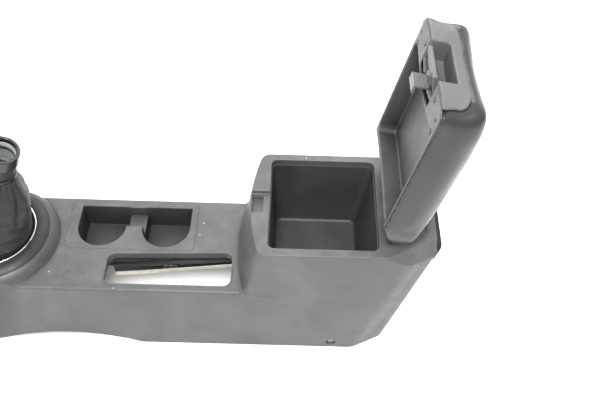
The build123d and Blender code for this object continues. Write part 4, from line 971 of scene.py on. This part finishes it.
new_piece("slot_clip", facing_out(mesh_of("slot_clip", clip_points, clip_faces)), "gloss_collar", "root")
print("clip made")

# %% [markdown]
# ## The pocket under the catch
#
# The hook drops through a slot in the rim. On the real moulding a small pocket hangs under the slot, so that
# one looks on to plastic there and not into the dark shell. It reaches back under the rim, where the hook's
# nose goes. It is a box that is open above, made as rings of corners: up its outside, and down its inside.

# %% Mould the catch pocket
catch_x0, catch_x1, catch_half, catch_low, catch_top, catch_wall = 129.7, 152.5, 16.5, 237.2, 244.9, 1.2


def corner_ring(inset, z):
    return [(catch_x0 + inset, -catch_half + inset, z), (catch_x1 - inset, -catch_half + inset, z),
            (catch_x1 - inset, catch_half - inset, z), (catch_x0 + inset, catch_half - inset, z)]


rings = [corner_ring(0, catch_low), corner_ring(0, catch_top), corner_ring(catch_wall, catch_top),
         corner_ring(catch_wall, catch_low + catch_wall)]
corners = [corner for ring in rings for corner in ring]
sides = grid_faces(len(rings), 4) + [(3, 2, 1, 0), tuple(range(12, 16))]
new_piece("catch_pocket", mesh_of("catch_pocket", corners, sides), "shell_plastic", "root", smooth=False)
print("catch pocket:", catch_x1 - catch_x0, "by", 2 * catch_half, "mm")

# %% [markdown]
# ## The room
#
# The console lies on a plain white floor in soft daylight. The floor and a white surround light it from below
# and from the sides, which is why its faces turned to the camera are the dark ones. A large soft lamp behind
# makes the pale sheen on the deck, a smaller one stands in front and above, and a faint one under the deck
# lights the floor that is seen through the handbrake slot.

# %% Floor and light
floor_half, floor_drop = 6000.0, 0.4
floor = linked("floor", mesh_of("floor", [
    (sx * floor_half, sy * floor_half, -floor_drop) for sx, sy in ((-1, -1), (1, -1), (1, 1), (-1, 1))],
    [(0, 1, 2, 3)]))
pale = Finish("pale_floor", Roughness=0.6)
pale.feed("Base Color", pale.mix(pale.noise(3, 3, 0.5).ramp(0.3, 0.7), shade(0.86), shade(0.9)))
floor.data.materials.append(pale.material)

brightest, dim, bright = Vector((0.0, 0.3, 0.95)), 0.5, 1.75
dim_until, bright_from, daylight = -0.45, 0.8, (0.98, 0.99, 1.0, 1.0)
world = bpy.data.worlds.new("daylight")
world.use_nodes = True
sky = world.node_tree
direction = node_in(sky, "ShaderNodeTexCoord")
toward = node_in(sky, "ShaderNodeVectorMath", {0: direction.outputs["Generated"], 1: brightest},
                 operation="DOT_PRODUCT")
fall = node_in(sky, "ShaderNodeMapRange", {
    "Value": toward.outputs["Value"], "From Min": dim_until, "From Max": bright_from, "To Min": dim,
    "To Max": bright})
background = sky.nodes["Background"]
background.inputs["Color"].default_value = daylight
sky.links.new(fall.outputs[0], background.inputs["Strength"])
bpy.context.scene.world = world
bpy.context.scene.view_settings.view_transform = "Standard"


def lamp(name, place, target, size, power, depth=None):
    """A soft elliptical lamp, in metres and watts, that looks at its target."""
    data = bpy.data.lights.new(name, "AREA")
    data.shape, data.size, data.size_y, data.energy = "ELLIPSE", size, depth or size, power
    turned = (Vector(target) - Vector(place)).to_track_quat("-Z", "Y")
    linked(name, data).matrix_world = Matrix.Translation(place) @ turned.to_matrix().to_4x4()


lamp("window", (0.2, 2.0, 1.6), (0.0, 0.0, 0.15), 1.6, 24)
lamp("ceiling", (0.1, -1.1, 2.3), (0.0, 0.0, 0.1), 0.8, 75)
lamp("under_deck", (0.0, -0.06, 0.085), (0.0, -0.05, 0.0), 0.2, 0.16, 0.03)
